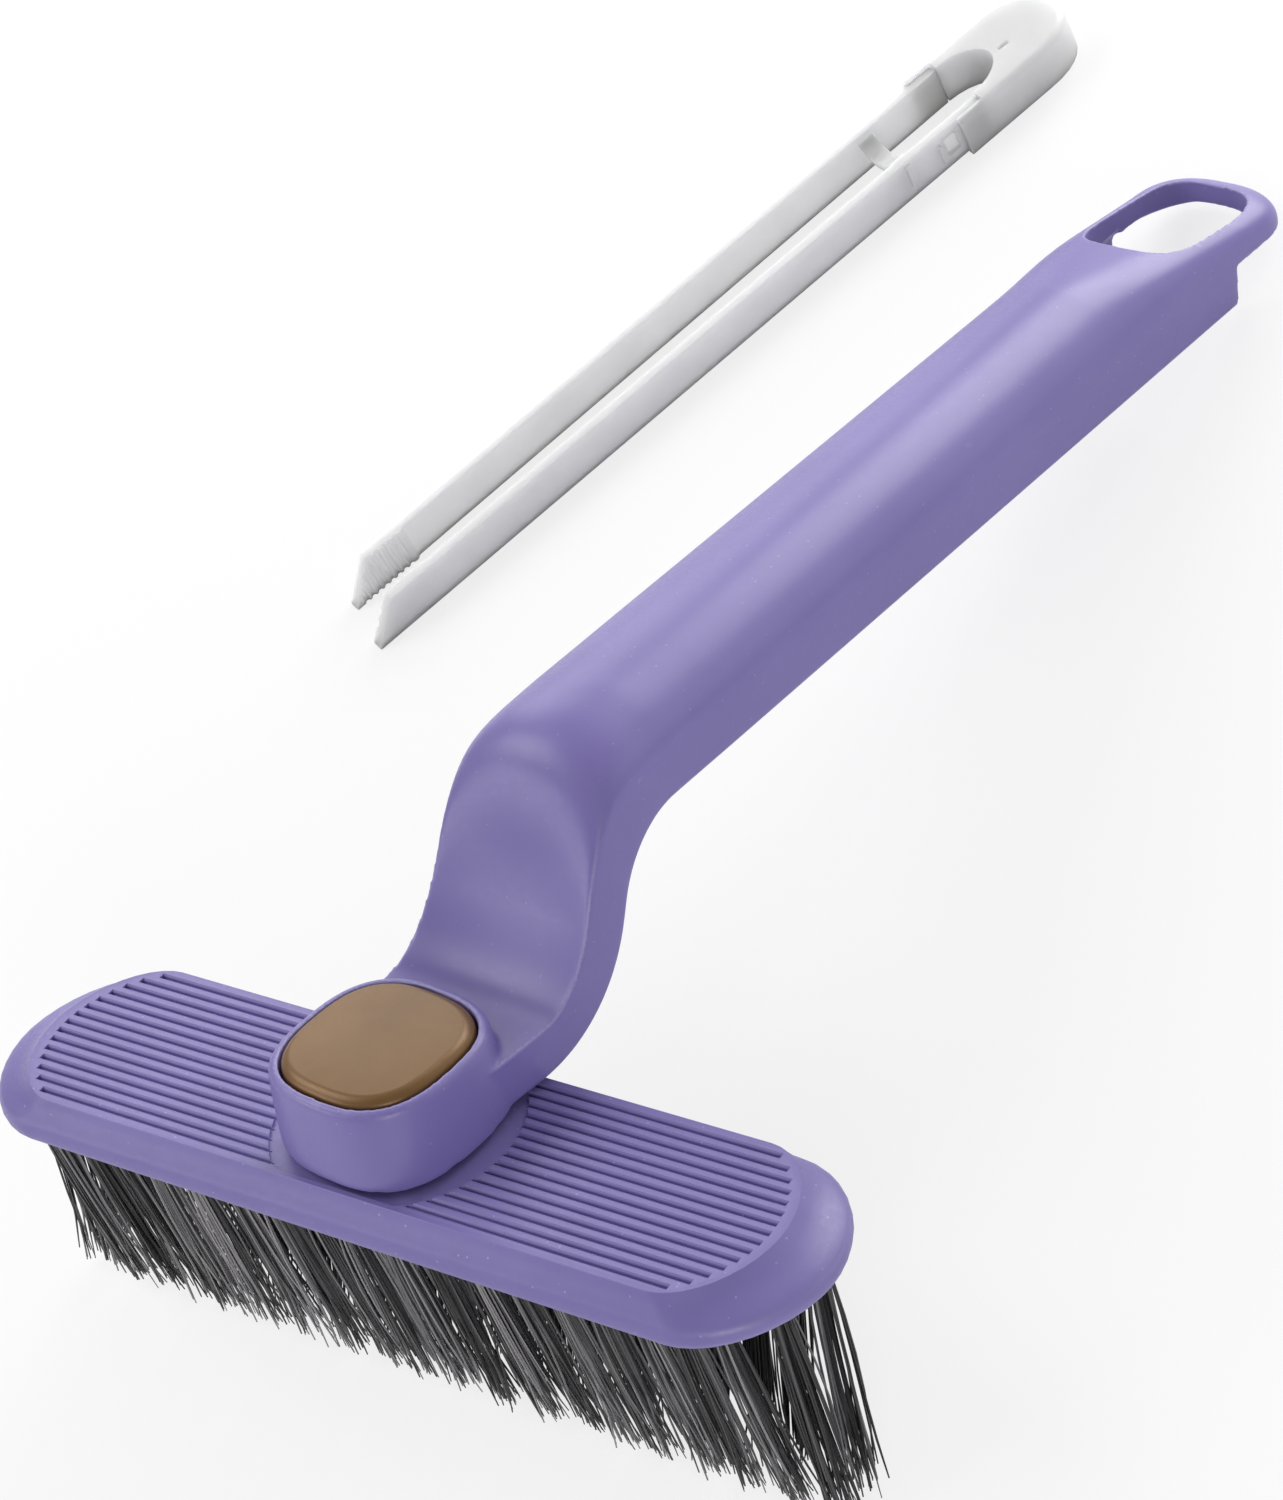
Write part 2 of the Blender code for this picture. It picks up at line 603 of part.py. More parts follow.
# Handle: hub drum, rising neck, half-round grip with a hollow underside, and hanging loop
def build_handle():
    bm = bmesh.new()
    loft(bm, handle_rings())
    handle = make_object("handle", bm, HANDLE_FRAME, PURPLE)

    drum = bmesh.new()
    rings = [squircle(HUB_FOOT_HALF - HUB_FOOT_ROUND, HUB_POWER, SWIVEL_GAP)]
    rings.append(squircle(HUB_FOOT_HALF, HUB_POWER, SWIVEL_GAP + HUB_FOOT_ROUND))
    for index in range(4):
        turn = 0.5 * math.pi * index / 3
        half = HUB_RIM_HALF - HUB_RIM_ROUND * (1.0 - math.cos(turn))
        rings.append(squircle(half, HUB_POWER, HUB_TOP - HUB_RIM_ROUND * (1.0 - math.sin(turn))))
    loft(drum, rings)
    cut(handle, make_object("handle_hub_body", drum, HANDLE_FRAME, cutter=True), "UNION")

    recess = bmesh.new()
    loft(recess, [squircle(CAP_HALF + FIT, HUB_POWER, CAP_SEAT),
                  squircle(CAP_HALF + FIT, HUB_POWER, HUB_TOP + HUB_CLEARING)])
    cut(handle, make_object("handle_cap_recess", recess, HANDLE_FRAME, cutter=True))

    bores = bmesh.new()
    profile = [(BOSS_RADIUS + SWIVEL_GAP, -HUB_CLEARING),
               (BOSS_RADIUS + SWIVEL_GAP, HUB_FLOOR_TOP),
               (CAP_CAVITY_RADIUS, HUB_FLOOR_TOP),
               (CAP_CAVITY_RADIUS, CAP_SEAT + 0.5 * CAP_EDGE_HEIGHT)]
    rings = []
    for radius, height in profile:
        ring = []
        for index in range(ROUND_STEPS):
            angle = 2.0 * math.pi * index / ROUND_STEPS
            ring.append((radius * math.cos(angle), radius * math.sin(angle), height))
        rings.append(ring)
    loft(bores, rings)
    cut(handle, make_object("handle_bores", bores, HANDLE_FRAME, cutter=True))

    channel = bmesh.new()
    half = GRIP_HALF_WIDTH - CHANNEL_WALL
    ceiling = GRIP_BOTTOM + CHANNEL_DEPTH
    outline = [(-half, GRIP_BOTTOM - CHANNEL_WALL), (half, GRIP_BOTTOM - CHANNEL_WALL)]
    for side in (1.0, -1.0):
        arc = []
        for index in range(7):
            turn = 0.5 * math.pi * index / 6
            x = side * (half - CHANNEL_CORNER + CHANNEL_CORNER * math.cos(turn))
            z = ceiling - CHANNEL_CORNER + CHANNEL_CORNER * math.sin(turn)
            arc.append((x, z))
        if side < 0.0:
            arc.reverse()
        outline += arc
    channel_end = NOTCH_POSITION + 0.1 * CHANNEL_WALL
    loft(channel, [[(x, y, z + grip_rise(y)) for x, z in outline]
                   for y in (CHANNEL_START, channel_end)])
    cut(handle, make_object("handle_channel", channel, HANDLE_FRAME, cutter=True))

    notch = bmesh.new()
    reach = GRIP_HALF_WIDTH + CHANNEL_WALL
    under = LOOP_UNDERSIDE + grip_rise(NOTCH_POSITION)
    add_box(notch, (-reach, NOTCH_POSITION, GRIP_BOTTOM - CHANNEL_WALL),
            (reach, HANDLE_END + CHANNEL_WALL, under))
    cut(handle, make_object("handle_notch", notch, HANDLE_FRAME, cutter=True))

    hole = bmesh.new()
    centre = HANDLE_END - HOLE_END_WALL - 0.5 * HOLE_LENGTH
    ring = []
    for index in range(36):
        turn = 2.0 * math.pi * (index + 0.5) / 36
        x, y = power_point(0.5 * HOLE_WIDTH, 0.5 * HOLE_LENGTH, HOLE_POWER, turn)
        ring.append((x, centre + y))
    loft(hole, [[(x, y, GRIP_BOTTOM - CHANNEL_WALL) for x, y in ring],
                [(x, y, GRIP_SPRING + 1.6 * GRIP_CROWN) for x, y in ring]])
    cut(handle, make_object("handle_hanging_hole", hole, HANDLE_FRAME, cutter=True))
    smooth(handle, 32.0)
    return handle


# Domed cap that closes the hub over the screw
def build_cap():
    bm = bmesh.new()
    bottom = CAP_SEAT + FIT
    edge = bottom + CAP_EDGE_HEIGHT
    rings = [squircle(CAP_HALF, HUB_POWER, bottom)]
    for index in range(5):
        turn = 0.5 * math.pi * index / 4
        half = CAP_HALF - CAP_EDGE_ROUND * (1.0 - math.cos(turn))
        rings.append(squircle(half, HUB_POWER, edge + CAP_EDGE_ROUND * math.sin(turn)))
    crown = CAP_HALF - CAP_EDGE_ROUND
    for share in (0.93, 0.8, 0.62, 0.42, 0.22, 0.06):
        rise = CAP_EDGE_ROUND + CAP_DOME * (1.0 - share ** 2)
        rings.append(squircle(crown * share, HUB_POWER, edge + rise))
    loft(bm, rings)
    cap = make_object("hub_cap", bm, HANDLE_FRAME, GOLD)
    smooth(cap, 50.0)
    return cap


# Washer and screw that hold the hub down on the head's boss
def build_washer():
    bm = bmesh.new()
    bottom = BOSS_HEIGHT + FIT
    add_cylinder(bm, WASHER_RADIUS, bottom, bottom + WASHER_THICKNESS)
    washer = make_object("pivot_washer", bm, BRUSH, STEEL)
    bore = bmesh.new()
    add_cylinder(bore, SCREW_SHANK_RADIUS + FIT, bottom - WASHER_THICKNESS,
                 bottom + 2.0 * WASHER_THICKNESS, steps=24)
    cut(washer, make_object("washer_bore", bore, BRUSH, cutter=True))
    smooth(washer, 40.0)
    return washer


def build_screw():
    bm = bmesh.new()
    seat = BOSS_HEIGHT + FIT + WASHER_THICKNESS + FIT
    tip = BOSS_HEIGHT - SCREW_PILOT_DEPTH + FIT
    profile = [(0.35 * SCREW_SHANK_RADIUS, tip), (SCREW_SHANK_RADIUS, tip + SCREW_SHANK_RADIUS),
               (SCREW_SHANK_RADIUS, seat), (SCREW_HEAD_RADIUS, seat),
               (SCREW_HEAD_RADIUS, seat + 0.55 * SCREW_HEAD_HEIGHT),
               (0.9 * SCREW_HEAD_RADIUS, seat + 0.82 * SCREW_HEAD_HEIGHT),
               (0.6 * SCREW_HEAD_RADIUS, seat + SCREW_HEAD_HEIGHT)]
    rings = []
    for radius, height in profile:
        ring = []
        for index in range(24):
            angle = 2.0 * math.pi * index / 24
            ring.append((radius * math.cos(angle), radius * math.sin(angle), height))
        rings.append(ring)
    loft(bm, rings)
    screw = make_object("pivot_screw", bm, BRUSH, STEEL)
    drive = bmesh.new()
    top = seat + SCREW_HEAD_HEIGHT
    arm = 0.5 * SCREW_HEAD_RADIUS
    half = 0.5 * SCREW_DRIVE_WIDTH
    plan = [(half, half), (half, arm), (-half, arm), (-half, half), (-arm, half), (-arm, -half),
            (-half, -half), (-half, -arm), (half, -arm), (half, -half), (arm, -half), (arm, half)]
    loft(drive, [[(x, y, top - SCREW_DRIVE_DEPTH) for x, y in plan],
                 [(x, y, top + SCREW_DRIVE_DEPTH) for x, y in plan]])
    cut(screw, make_object("screw_cross", drive, BRUSH, cutter=True))
    smooth(screw, 35.0)
    return screw


# Tweezers: two flat arms rooted in a thick rounded cap, with a thin strap between them
ARM_OUTER = 0.5 * ARM_SPACING
ARM_INNER = ARM_OUTER - ARM_THICKNESS


def arm_plan(tip):
    """Plan of the right arm: x outwards, y towards the cap, with a grooved pad at its tip."""
    inner = ARM_INNER - ARM_TOE_IN
    pad = inner - GRIP_PAD_THICKNESS
    floor = pad + TOOTH_GROOVE_DEPTH
    points = [(ARM_OUTER - ARM_TOE_IN, tip), (ARM_OUTER, ARM_ROOT), (ARM_INNER, ARM_ROOT)]
    points.append((inner, tip + GRIP_PAD_LENGTH + GRIP_PAD_THICKNESS))
    points.append((pad, tip + GRIP_PAD_LENGTH))
    for index in range(TOOTH_COUNT):
        high = tip + TOOTH_START + (TOOTH_COUNT - index) * TOOTH_PITCH
        points.append((pad, high - 0.3 * TOOTH_PITCH))
        points.append((floor, high - 0.48 * TOOTH_PITCH))
        points.append((floor, high - 0.82 * TOOTH_PITCH))
        points.append((pad, high - TOOTH_PITCH))
    points.append((pad, tip))
    return points


def build_arm(name, side):
    """One arm; its object stands on its hinge axis, where it flexes in the cap."""
    hinge_x = side * 0.5 * (ARM_OUTER + ARM_INNER)
    tip = -side * ARM_TIP_STAGGER
    place = Matrix.Translation((hinge_x * MM, ARM_HINGE * MM, 0.0))
    frame = make_empty(name + "_hinge", TWEEZERS, place)
    plan = [(side * x - hinge_x, y - ARM_HINGE) for x, y in arm_plan(tip)]
    bm = bmesh.new()
    loft(bm, [[(x, y, 0.0) for x, y in plan], [(x, y, ARM_HEIGHT) for x, y in plan]])
    arm = make_object(name, bm, frame, CLOUDY)
    slant = bmesh.new()
    start = tip - ARM_HINGE
    low_x = -side * ARM_TOE_IN - ARM_SPACING
    wedge = [(start - ARM_SLANT, ARM_TIP_HEIGHT), (start, ARM_TIP_HEIGHT),
             (start + ARM_SLANT, ARM_HEIGHT), (start + 1.05 * ARM_SLANT, 1.05 * ARM_HEIGHT),
             (start - ARM_SLANT, 1.05 * ARM_HEIGHT)]
    loft(slant, [[(low_x, y, z) for y, z in wedge],
                 [(low_x + 2.0 * ARM_SPACING, y, z) for y, z in wedge]])
    cut(arm, make_object(name + "_slant", slant, frame, cutter=True))
    if side > 0.0:
        extras = bmesh.new()
        face = ARM_OUTER - hinge_x
        root = face - 0.5 * ARM_THICKNESS
        y = RIB_POSITION - ARM_HINGE
        add_box(extras, (root, y, RIB_LOW), (face + RIB_OUT, y + RIB_WIDTH, RIB_HIGH))
        y = LATCH_BAR_POSITION - ARM_HINGE
        add_box(extras, (root, y, LATCH_LOW), (face + RIB_OUT, y + LATCH_BAR_WIDTH, LATCH_HIGH))
        cut(arm, make_object(name + "_rib_and_bar", extras, frame, cutter=True), "UNION")
        pocket = bmesh.new()
        y = LATCH_POCKET_POSITION - ARM_HINGE
        add_box(pocket, (face - LATCH_POCKET_DEPTH, y, LATCH_LOW),
                (face + RIB_OUT, y + LATCH_POCKET_WIDTH, LATCH_HIGH))
        cut(arm, make_object(name + "_pocket", pocket, frame, cutter=True))
    smooth(arm, 35.0)
    return arm


def build_tweezers_cap():
    bm = bmesh.new()
    leg_inner = ARM_OUTER + FIT
    seat = ARM_ROOT + FIT
    points = [(TWEEZERS_CAP_HALF, TWEEZERS_CAP_START)]
    straight = TWEEZERS_LENGTH - TWEEZERS_CAP_END_DEPTH
    for index in range(17):
        turn = math.pi * index / 16
        x, y = power_point(TWEEZERS_CAP_HALF, TWEEZERS_CAP_END_DEPTH, TWEEZERS_CAP_POWER, turn)
        points.append((x, straight + y))
    points.append((-TWEEZERS_CAP_HALF, TWEEZERS_CAP_START))
    points.append((-leg_inner, TWEEZERS_CAP_START))
    points.append((-leg_inner, seat))
    for index in range(13):
        turn = math.pi * (1.0 - index / 12)
        points.append((ARM_INNER * math.cos(turn), seat + CAP_SLOT_DEPTH * math.sin(turn)))
    points.append((leg_inner, seat))
    points.append((leg_inner, TWEEZERS_CAP_START))
    loft(bm, [[(x, y, 0.0) for x, y in points], [(x, y, TWEEZERS_CAP_HEIGHT) for x, y in points]])
    cap = make_object("tweezers_cap", bm, TWEEZERS, CLOUDY)
    rounding = bmesh.new()
    rings = []
    for index in range(5):
        turn = 0.5 * math.pi * index / 4
        inset = TWEEZERS_CAP_ROUND * (1.0 - math.cos(turn))
        z = TWEEZERS_CAP_HEIGHT - TWEEZERS_CAP_ROUND * (1.0 - math.sin(turn))
        rings.append(cap_outline(inset, z))
    rings.insert(0, cap_outline(0.0, -TWEEZERS_CAP_ROUND))
    loft(rounding, rings)
    cut(cap, make_object("tweezers_cap_rounding", rounding, TWEEZERS, cutter=True), "INTERSECT")
    mark = bmesh.new()
    low_x = CAP_MARK_X - 0.5 * CAP_MARK_WIDTH
    add_box(mark, (low_x, CAP_MARK_POSITION, TWEEZERS_CAP_HEIGHT - CAP_MARK_DEPTH),
            (low_x + CAP_MARK_WIDTH, CAP_MARK_POSITION + CAP_MARK_LENGTH,
             TWEEZERS_CAP_HEIGHT + CAP_MARK_DEPTH))
    cut(cap, make_object("tweezers_cap_mark", mark, TWEEZERS, cutter=True))
    smooth(cap, 35.0)
    return cap


def cap_outline(inset, z):
    """The cap's outer outline, drawn in by an inset, closed square across the legs' ends."""
    half = TWEEZERS_CAP_HALF + 0.02 - inset
    depth = TWEEZERS_CAP_END_DEPTH + 0.02 - inset
    straight = TWEEZERS_LENGTH - TWEEZERS_CAP_END_DEPTH
    points = [(half, TWEEZERS_CAP_START - TWEEZERS_CAP_ROUND, z)]
    for index in range(25):
        x, y = power_point(half, depth, TWEEZERS_CAP_POWER, math.pi * index / 24)
        points.append((x, straight + y, z))
    points.append((-half, TWEEZERS_CAP_START - TWEEZERS_CAP_ROUND, z))
    return points


def build_bridge():
    bm = bmesh.new()
    half = ARM_INNER - BRIDGE_END_GAP
    steps = 14
    upper = []
    lower = []
    for index in range(steps + 1):
        x = -half + 2.0 * half * index / steps
        z = BRIDGE_TOP - BRIDGE_SAG * (1.0 - abs(x / half) ** 2.4)
        upper.append((x, z))
        lower.append((x, z - BRIDGE_THICKNESS))
    side = upper + list(reversed(lower))
    loft(bm, [[(x, BRIDGE_POSITION, z) for x, z in side],
              [(x, BRIDGE_POSITION + BRIDGE_WIDTH, z) for x, z in side]])
    bridge = make_object("tweezers_bridge", bm, TWEEZERS, CLOUDY)
    smooth(bridge, 35.0)
    return bridge


build_head()
for number, (tuft_name, tuft_base, tuft_tip) in enumerate(tuft_places()):
    build_tuft(tuft_name, tuft_base, tuft_tip, 100 + number)
build_handle()
build_cap()
build_washer()
build_screw()
build_tweezers_cap()
build_arm("tweezer_arm_left", -1.0)
build_arm("tweezer_arm_right", 1.0)
build_bridge()


# The whole set is centred over the origin, standing on the plane Z = 0
def centre_on_origin():
    bpy.context.view_layer.update()
    graph = bpy.context.evaluated_depsgraph_get()
    low = Vector((1.0, 1.0, 1.0))
    high = Vector((-1.0, -1.0, -1.0))
    for thing in PARTS.objects:
        if thing.type != "MESH":
            continue
        shown = thing.evaluated_get(graph)
        for vertex in shown.data.vertices:
            point = shown.matrix_world @ vertex.co
            low = Vector((min(low.x, point.x), min(low.y, point.y), min(low.z, point.z)))
            high = Vector((max(high.x, point.x), max(high.y, point.y), max(high.z, point.z)))
    ROW.location = (-0.5 * (low.x + high.x), -0.5 * (low.y + high.y), -low.z)


centre_on_origin()
CUTTERS.hide_render = True
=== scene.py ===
import json
import math
import random

import bmesh
import bpy
from mathutils import Matrix, Vector


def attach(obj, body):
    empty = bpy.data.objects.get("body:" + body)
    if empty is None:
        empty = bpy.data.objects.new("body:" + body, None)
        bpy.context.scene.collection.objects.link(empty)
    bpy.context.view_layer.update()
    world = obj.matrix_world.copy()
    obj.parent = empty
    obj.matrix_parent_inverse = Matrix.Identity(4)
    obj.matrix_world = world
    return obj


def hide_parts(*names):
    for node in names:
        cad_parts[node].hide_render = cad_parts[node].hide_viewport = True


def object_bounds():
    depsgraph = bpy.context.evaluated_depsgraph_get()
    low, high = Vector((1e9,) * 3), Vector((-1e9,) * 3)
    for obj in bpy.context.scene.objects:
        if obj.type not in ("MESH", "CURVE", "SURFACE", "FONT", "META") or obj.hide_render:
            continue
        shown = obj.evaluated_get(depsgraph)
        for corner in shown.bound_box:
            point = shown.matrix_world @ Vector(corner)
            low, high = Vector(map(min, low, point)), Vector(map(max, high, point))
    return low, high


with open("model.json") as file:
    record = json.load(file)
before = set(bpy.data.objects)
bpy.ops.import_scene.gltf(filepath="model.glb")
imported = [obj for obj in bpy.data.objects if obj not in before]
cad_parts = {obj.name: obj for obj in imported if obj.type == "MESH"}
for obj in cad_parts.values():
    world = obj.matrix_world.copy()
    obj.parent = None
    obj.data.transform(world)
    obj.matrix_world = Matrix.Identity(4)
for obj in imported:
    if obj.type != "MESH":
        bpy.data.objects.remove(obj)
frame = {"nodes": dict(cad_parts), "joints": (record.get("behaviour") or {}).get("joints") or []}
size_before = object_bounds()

# Brush head
# A long low moulding of purple polypropylene with ribs along its top and a lip round its foot.
# It carries everything else: the tufts sit in its underside and the handle turns on its boss.


def new_material(name, roughness, metallic=0.0):
    """A material and its Principled shader."""
    material = bpy.data.materials.new(name)
    material.use_nodes = True
    shader = material.node_tree.nodes["Principled BSDF"]
    shader.inputs["Roughness"].default_value = roughness
    shader.inputs["Metallic"].default_value = metallic
    return material, shader


def group_node(material, group, values):
    """Place a shader node group in a material with this finish's own values."""
    node = material.node_tree.nodes.new("ShaderNodeGroup")
    node.node_tree = group
    for name, value in values.items():
        node.inputs[name].default_value = value
    return node


def build_moulded_grain():
    """Fine skin of a moulded plastic: flow clouds, pits, light flecks and a change of gloss."""
    group = bpy.data.node_groups.new("moulded_grain", "ShaderNodeTree")
    face = group.interface
    for name, kind, value in (("Base", "NodeSocketColor", (0.2, 0.2, 0.2, 1.0)),
                              ("Deep", "NodeSocketColor", (0.1, 0.1, 0.1, 1.0)),
                              ("Cloud Size", "NodeSocketFloat", 40.0),
                              ("Pit Size", "NodeSocketFloat", 1400.0),
                              ("Gloss Low", "NodeSocketFloat", 0.36),
                              ("Gloss High", "NodeSocketFloat", 0.5),
                              ("Flecks", "NodeSocketFloat", 0.0)):
        socket = face.new_socket(name, in_out="INPUT", socket_type=kind)
        socket.default_value = value
    face.new_socket("Color", in_out="OUTPUT", socket_type="NodeSocketColor")
    face.new_socket("Roughness", in_out="OUTPUT", socket_type="NodeSocketFloat")
    face.new_socket("Height", in_out="OUTPUT", socket_type="NodeSocketFloat")
    nodes = group.nodes
    link = group.links.new
    taken = nodes.new("NodeGroupInput")
    given = nodes.new("NodeGroupOutput")
    place = nodes.new("ShaderNodeTexCoord")
    clouds = nodes.new("ShaderNodeTexNoise")
    clouds.inputs["Detail"].default_value = 5.0
    clouds.inputs["Roughness"].default_value = 0.6
    link(place.outputs["Object"], clouds.inputs["Vector"])
    link(taken.outputs["Cloud Size"], clouds.inputs["Scale"])
    pits = nodes.new("ShaderNodeTexNoise")
    pits.inputs["Detail"].default_value = 2.0
    link(place.outputs["Object"], pits.inputs["Vector"])
    link(taken.outputs["Pit Size"], pits.inputs["Scale"])
    spread = nodes.new("ShaderNodeMapRange")
    spread.inputs["From Min"].default_value = 0.35
    spread.inputs["From Max"].default_value = 0.7
    link(clouds.outputs["Fac"], spread.inputs["Value"])
    tint = nodes.new("ShaderNodeMix")
    tint.data_type = "RGBA"
    link(spread.outputs["Result"], tint.inputs["Factor"])
    link(taken.outputs["Base"], tint.inputs["A"])
    link(taken.outputs["Deep"], tint.inputs["B"])
    flecks = nodes.new("ShaderNodeTexVoronoi")
    flecks.inputs["Scale"].default_value = 420.0
    link(place.outputs["Object"], flecks.inputs["Vector"])
    small = nodes.new("ShaderNodeMapRange")
    small.inputs["From Min"].default_value = 0.1
    small.inputs["From Max"].default_value = 0.04
    link(flecks.outputs["Distance"], small.inputs["Value"])
    share = nodes.new("ShaderNodeMath")
    share.operation = "MULTIPLY"
    link(small.outputs["Result"], share.inputs[0])
    link(taken.outputs["Flecks"], share.inputs[1])
    dusted = nodes.new("ShaderNodeMix")
    dusted.data_type = "RGBA"
    dusted.inputs["B"].default_value = FLECK_TINT
    link(share.outputs["Value"], dusted.inputs["Factor"])
    link(tint.outputs["Result"], dusted.inputs["A"])
    link(dusted.outputs["Result"], given.inputs["Color"])
    gloss = nodes.new("ShaderNodeMapRange")
    gloss.inputs["From Min"].default_value = 0.3
    gloss.inputs["From Max"].default_value = 0.7
    link(pits.outputs["Fac"], gloss.inputs["Value"])
    link(taken.outputs["Gloss Low"], gloss.inputs["To Min"])
    link(taken.outputs["Gloss High"], gloss.inputs["To Max"])
    link(gloss.outputs["Result"], given.inputs["Roughness"])
    total = nodes.new("ShaderNodeMath")
    total.operation = "MULTIPLY_ADD"
    total.inputs[1].default_value = 0.7
    link(pits.outputs["Fac"], total.inputs[0])
    link(clouds.outputs["Fac"], total.inputs[2])
    link(total.outputs["Value"], given.inputs["Height"])
    return group


def grained(material, shader, group, values, depth, edge=0.0):
    """Place the grain in a material: colour, gloss, a shallow bump and a painted highlight on
    raised edges.
    """
    node = group_node(material, group, values)
    nodes = material.node_tree.nodes
    link = material.node_tree.links.new
    link(node.outputs["Roughness"], shader.inputs["Roughness"])
    bump = nodes.new("ShaderNodeBump")
    bump.inputs["Strength"].default_value = 0.3
    bump.inputs["Distance"].default_value = depth
    link(node.outputs["Height"], bump.inputs["Height"])
    link(bump.outputs["Normal"], shader.inputs["Normal"])
    if edge == 0.0:
        link(node.outputs["Color"], shader.inputs["Base Color"])
        return
    # Raised edges are mixed towards a lighter tint: a painted highlight along rims, ridges and
    # rib edges.
    mark = nodes.new("ShaderNodeAttribute")
    mark.attribute_name = "edge_highlight_paint"
    share = nodes.new("ShaderNodeMath")
    share.operation = "MULTIPLY"
    share.inputs[1].default_value = edge
    painted_highlight_mix = nodes.new("ShaderNodeMix")
    painted_highlight_mix.data_type = "RGBA"
    painted_highlight_mix.inputs["B"].default_value = EDGE_HIGHLIGHT_TINT
    link(mark.outputs["Fac"], share.inputs[0])
    link(share.outputs["Value"], painted_highlight_mix.inputs["Factor"])
    link(node.outputs["Color"], painted_highlight_mix.inputs["A"])
    link(painted_highlight_mix.outputs["Result"], shader.inputs["Base Color"])


def mark_highlight_edges(piece, soft, hard):
    """Store how strongly each point stands on a raised edge, from the turn of its faces, as the
    mask of a painted highlight.
    """
    cage = bmesh.new()
    cage.from_mesh(piece.data)
    marks = []
    for vertex in cage.verts:
        turn = max(math.degrees(edge.calc_face_angle_signed(0.0)) for edge in vertex.link_edges)
        marks.append(min(1.0, max(0.0, (turn - soft) / (hard - soft))))
    cage.free()
    attribute = piece.data.attributes.new("edge_highlight_paint", "FLOAT", "POINT")
    attribute.data.foreach_set("value", marks)


def dress(name, material):
    """Give a CAD node its finish."""
    mesh = frame["nodes"][name].data
    mesh.materials.clear()
    mesh.materials.append(material)


def pick(piece):
    """Make this piece the only one selected."""
    bpy.ops.object.select_all(action="DESELECT")
    piece.select_set(True)
    bpy.context.view_layer.objects.active = piece


def skin_copy(node, name, flatness=0.6):
    """Copy a CAD node and merge its loose triangles into one skin, with flat faces made whole."""
    source = frame["nodes"][node]
    mesh = source.data.copy()
    mesh.transform(source.matrix_world)
    mesh.materials.clear()
    piece = bpy.data.objects.new(name, mesh)
    bpy.context.scene.collection.objects.link(piece)
    pick(piece)
    bpy.ops.object.mode_set(mode="EDIT")
    bpy.ops.mesh.select_all(action="SELECT")
    bpy.ops.mesh.remove_doubles(threshold=WELD_WITHIN)
    if flatness > 0.0:
        bpy.ops.mesh.dissolve_limited(angle_limit=math.radians(flatness))
    bpy.ops.object.mode_set(mode="OBJECT")
    return piece


def apply_all(piece):
    """Apply the piece's modifiers in their order."""
    pick(piece)
    for modifier in list(piece.modifiers):
        bpy.ops.object.modifier_apply(modifier=modifier.name)


def soft_edges(piece, width, segments, degrees):
    """Round the moulding's sharp edges and shade the rest smooth."""
    bevel = piece.modifiers.new("edge_round", "BEVEL")
    bevel.width = width
    bevel.segments = segments
    bevel.limit_method = "ANGLE"
    bevel.angle_limit = math.radians(degrees)
    bevel.use_clamp_overlap = True
    apply_all(piece)
    pick(piece)
    bpy.ops.object.shade_smooth_by_angle(angle=math.radians(40.0))
    weights = piece.modifiers.new("even_normals", "WEIGHTED_NORMAL")
    weights.keep_sharp = True
    apply_all(piece)


def finish(piece, body, nodes, material):
    """Give a piece its material, its body and the nodes that it stands for."""
    piece.data.materials.clear()
    piece.data.materials.append(material)
    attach(piece, body)
    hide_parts(*nodes)


WELD_WITHIN = 0.000004
FLECK_TINT = (0.62, 0.6, 0.78, 1.0)
# Lighter tint of the painted highlight along raised edges.
EDGE_HIGHLIGHT_TINT = (0.52, 0.49, 0.74, 1.0)
LAVENDER = (0.190, 0.157, 0.410, 1.0)
LAVENDER_DEEP = (0.167, 0.137, 0.372, 1.0)
HEAD_EDGE_ROUND = 0.00014

moulded_grain = build_moulded_grain()
head_plastic, head_shader = new_material("head_plastic", 0.45)
grained(head_plastic, head_shader, moulded_grain,
        {"Base": LAVENDER, "Deep": LAVENDER_DEEP, "Cloud Size": 55.0, "Pit Size": 1500.0,
         "Gloss Low": 0.34, "Gloss High": 0.48, "Flecks": 0.3}, 0.00005, 0.22)
head_moulding = skin_copy("head_block", "head_moulding")
soft_edges(head_moulding, HEAD_EDGE_ROUND, 2, 38.0)
# The head's rib and rim edges get the painted highlight.
mark_highlight_edges(head_moulding, 14.0, 40.0)
finish(head_moulding, "head", ["head_block"], head_plastic)

# Bristle tufts
# Each tuft is a bundle of coarse black nylon bristles, folded double and pressed into its own
# drilled hole. The rows lean inwards, and the ends stand apart and are cut a little ragged.

swivel = next(joint for joint in frame["joints"] if joint["name"] == "head_swivel")
swivel_axis = Vector(swivel["axis"])
tilt = math.atan2(swivel_axis.y, swivel_axis.z)
brush_frame = Matrix.Translation(Vector(swivel["pos_m"])) @ Matrix.Rotation(-tilt, 4, "X")

# Heights and places are in metres in the brush's own frame, from the swivel.
BLOCK_UNDERSIDE = -0.0069
ROOT_DEPTH = 0.0026
TUFT_REACH = 0.050
ROW_COUNT = 18
TUFT_PITCH = 0.0075
ROW_Y = 0.013
ROW_TIP_Y = 0.003
BRISTLES = 44
STRANDS = 7
BRISTLE_LEVELS = 6
HOLE_FIELD = 0.0014
TIP_MARGIN = 0.0014
TIP_LEAST_HEIGHT = 0.00012
TIP_TAPER = 0.6
BRISTLE_RADII = (0.00015, 0.00021)
RAGGED_CUT = 0.0021
SHORT_SHARE = 0.12
SHORT_BY = (0.001, 0.006)
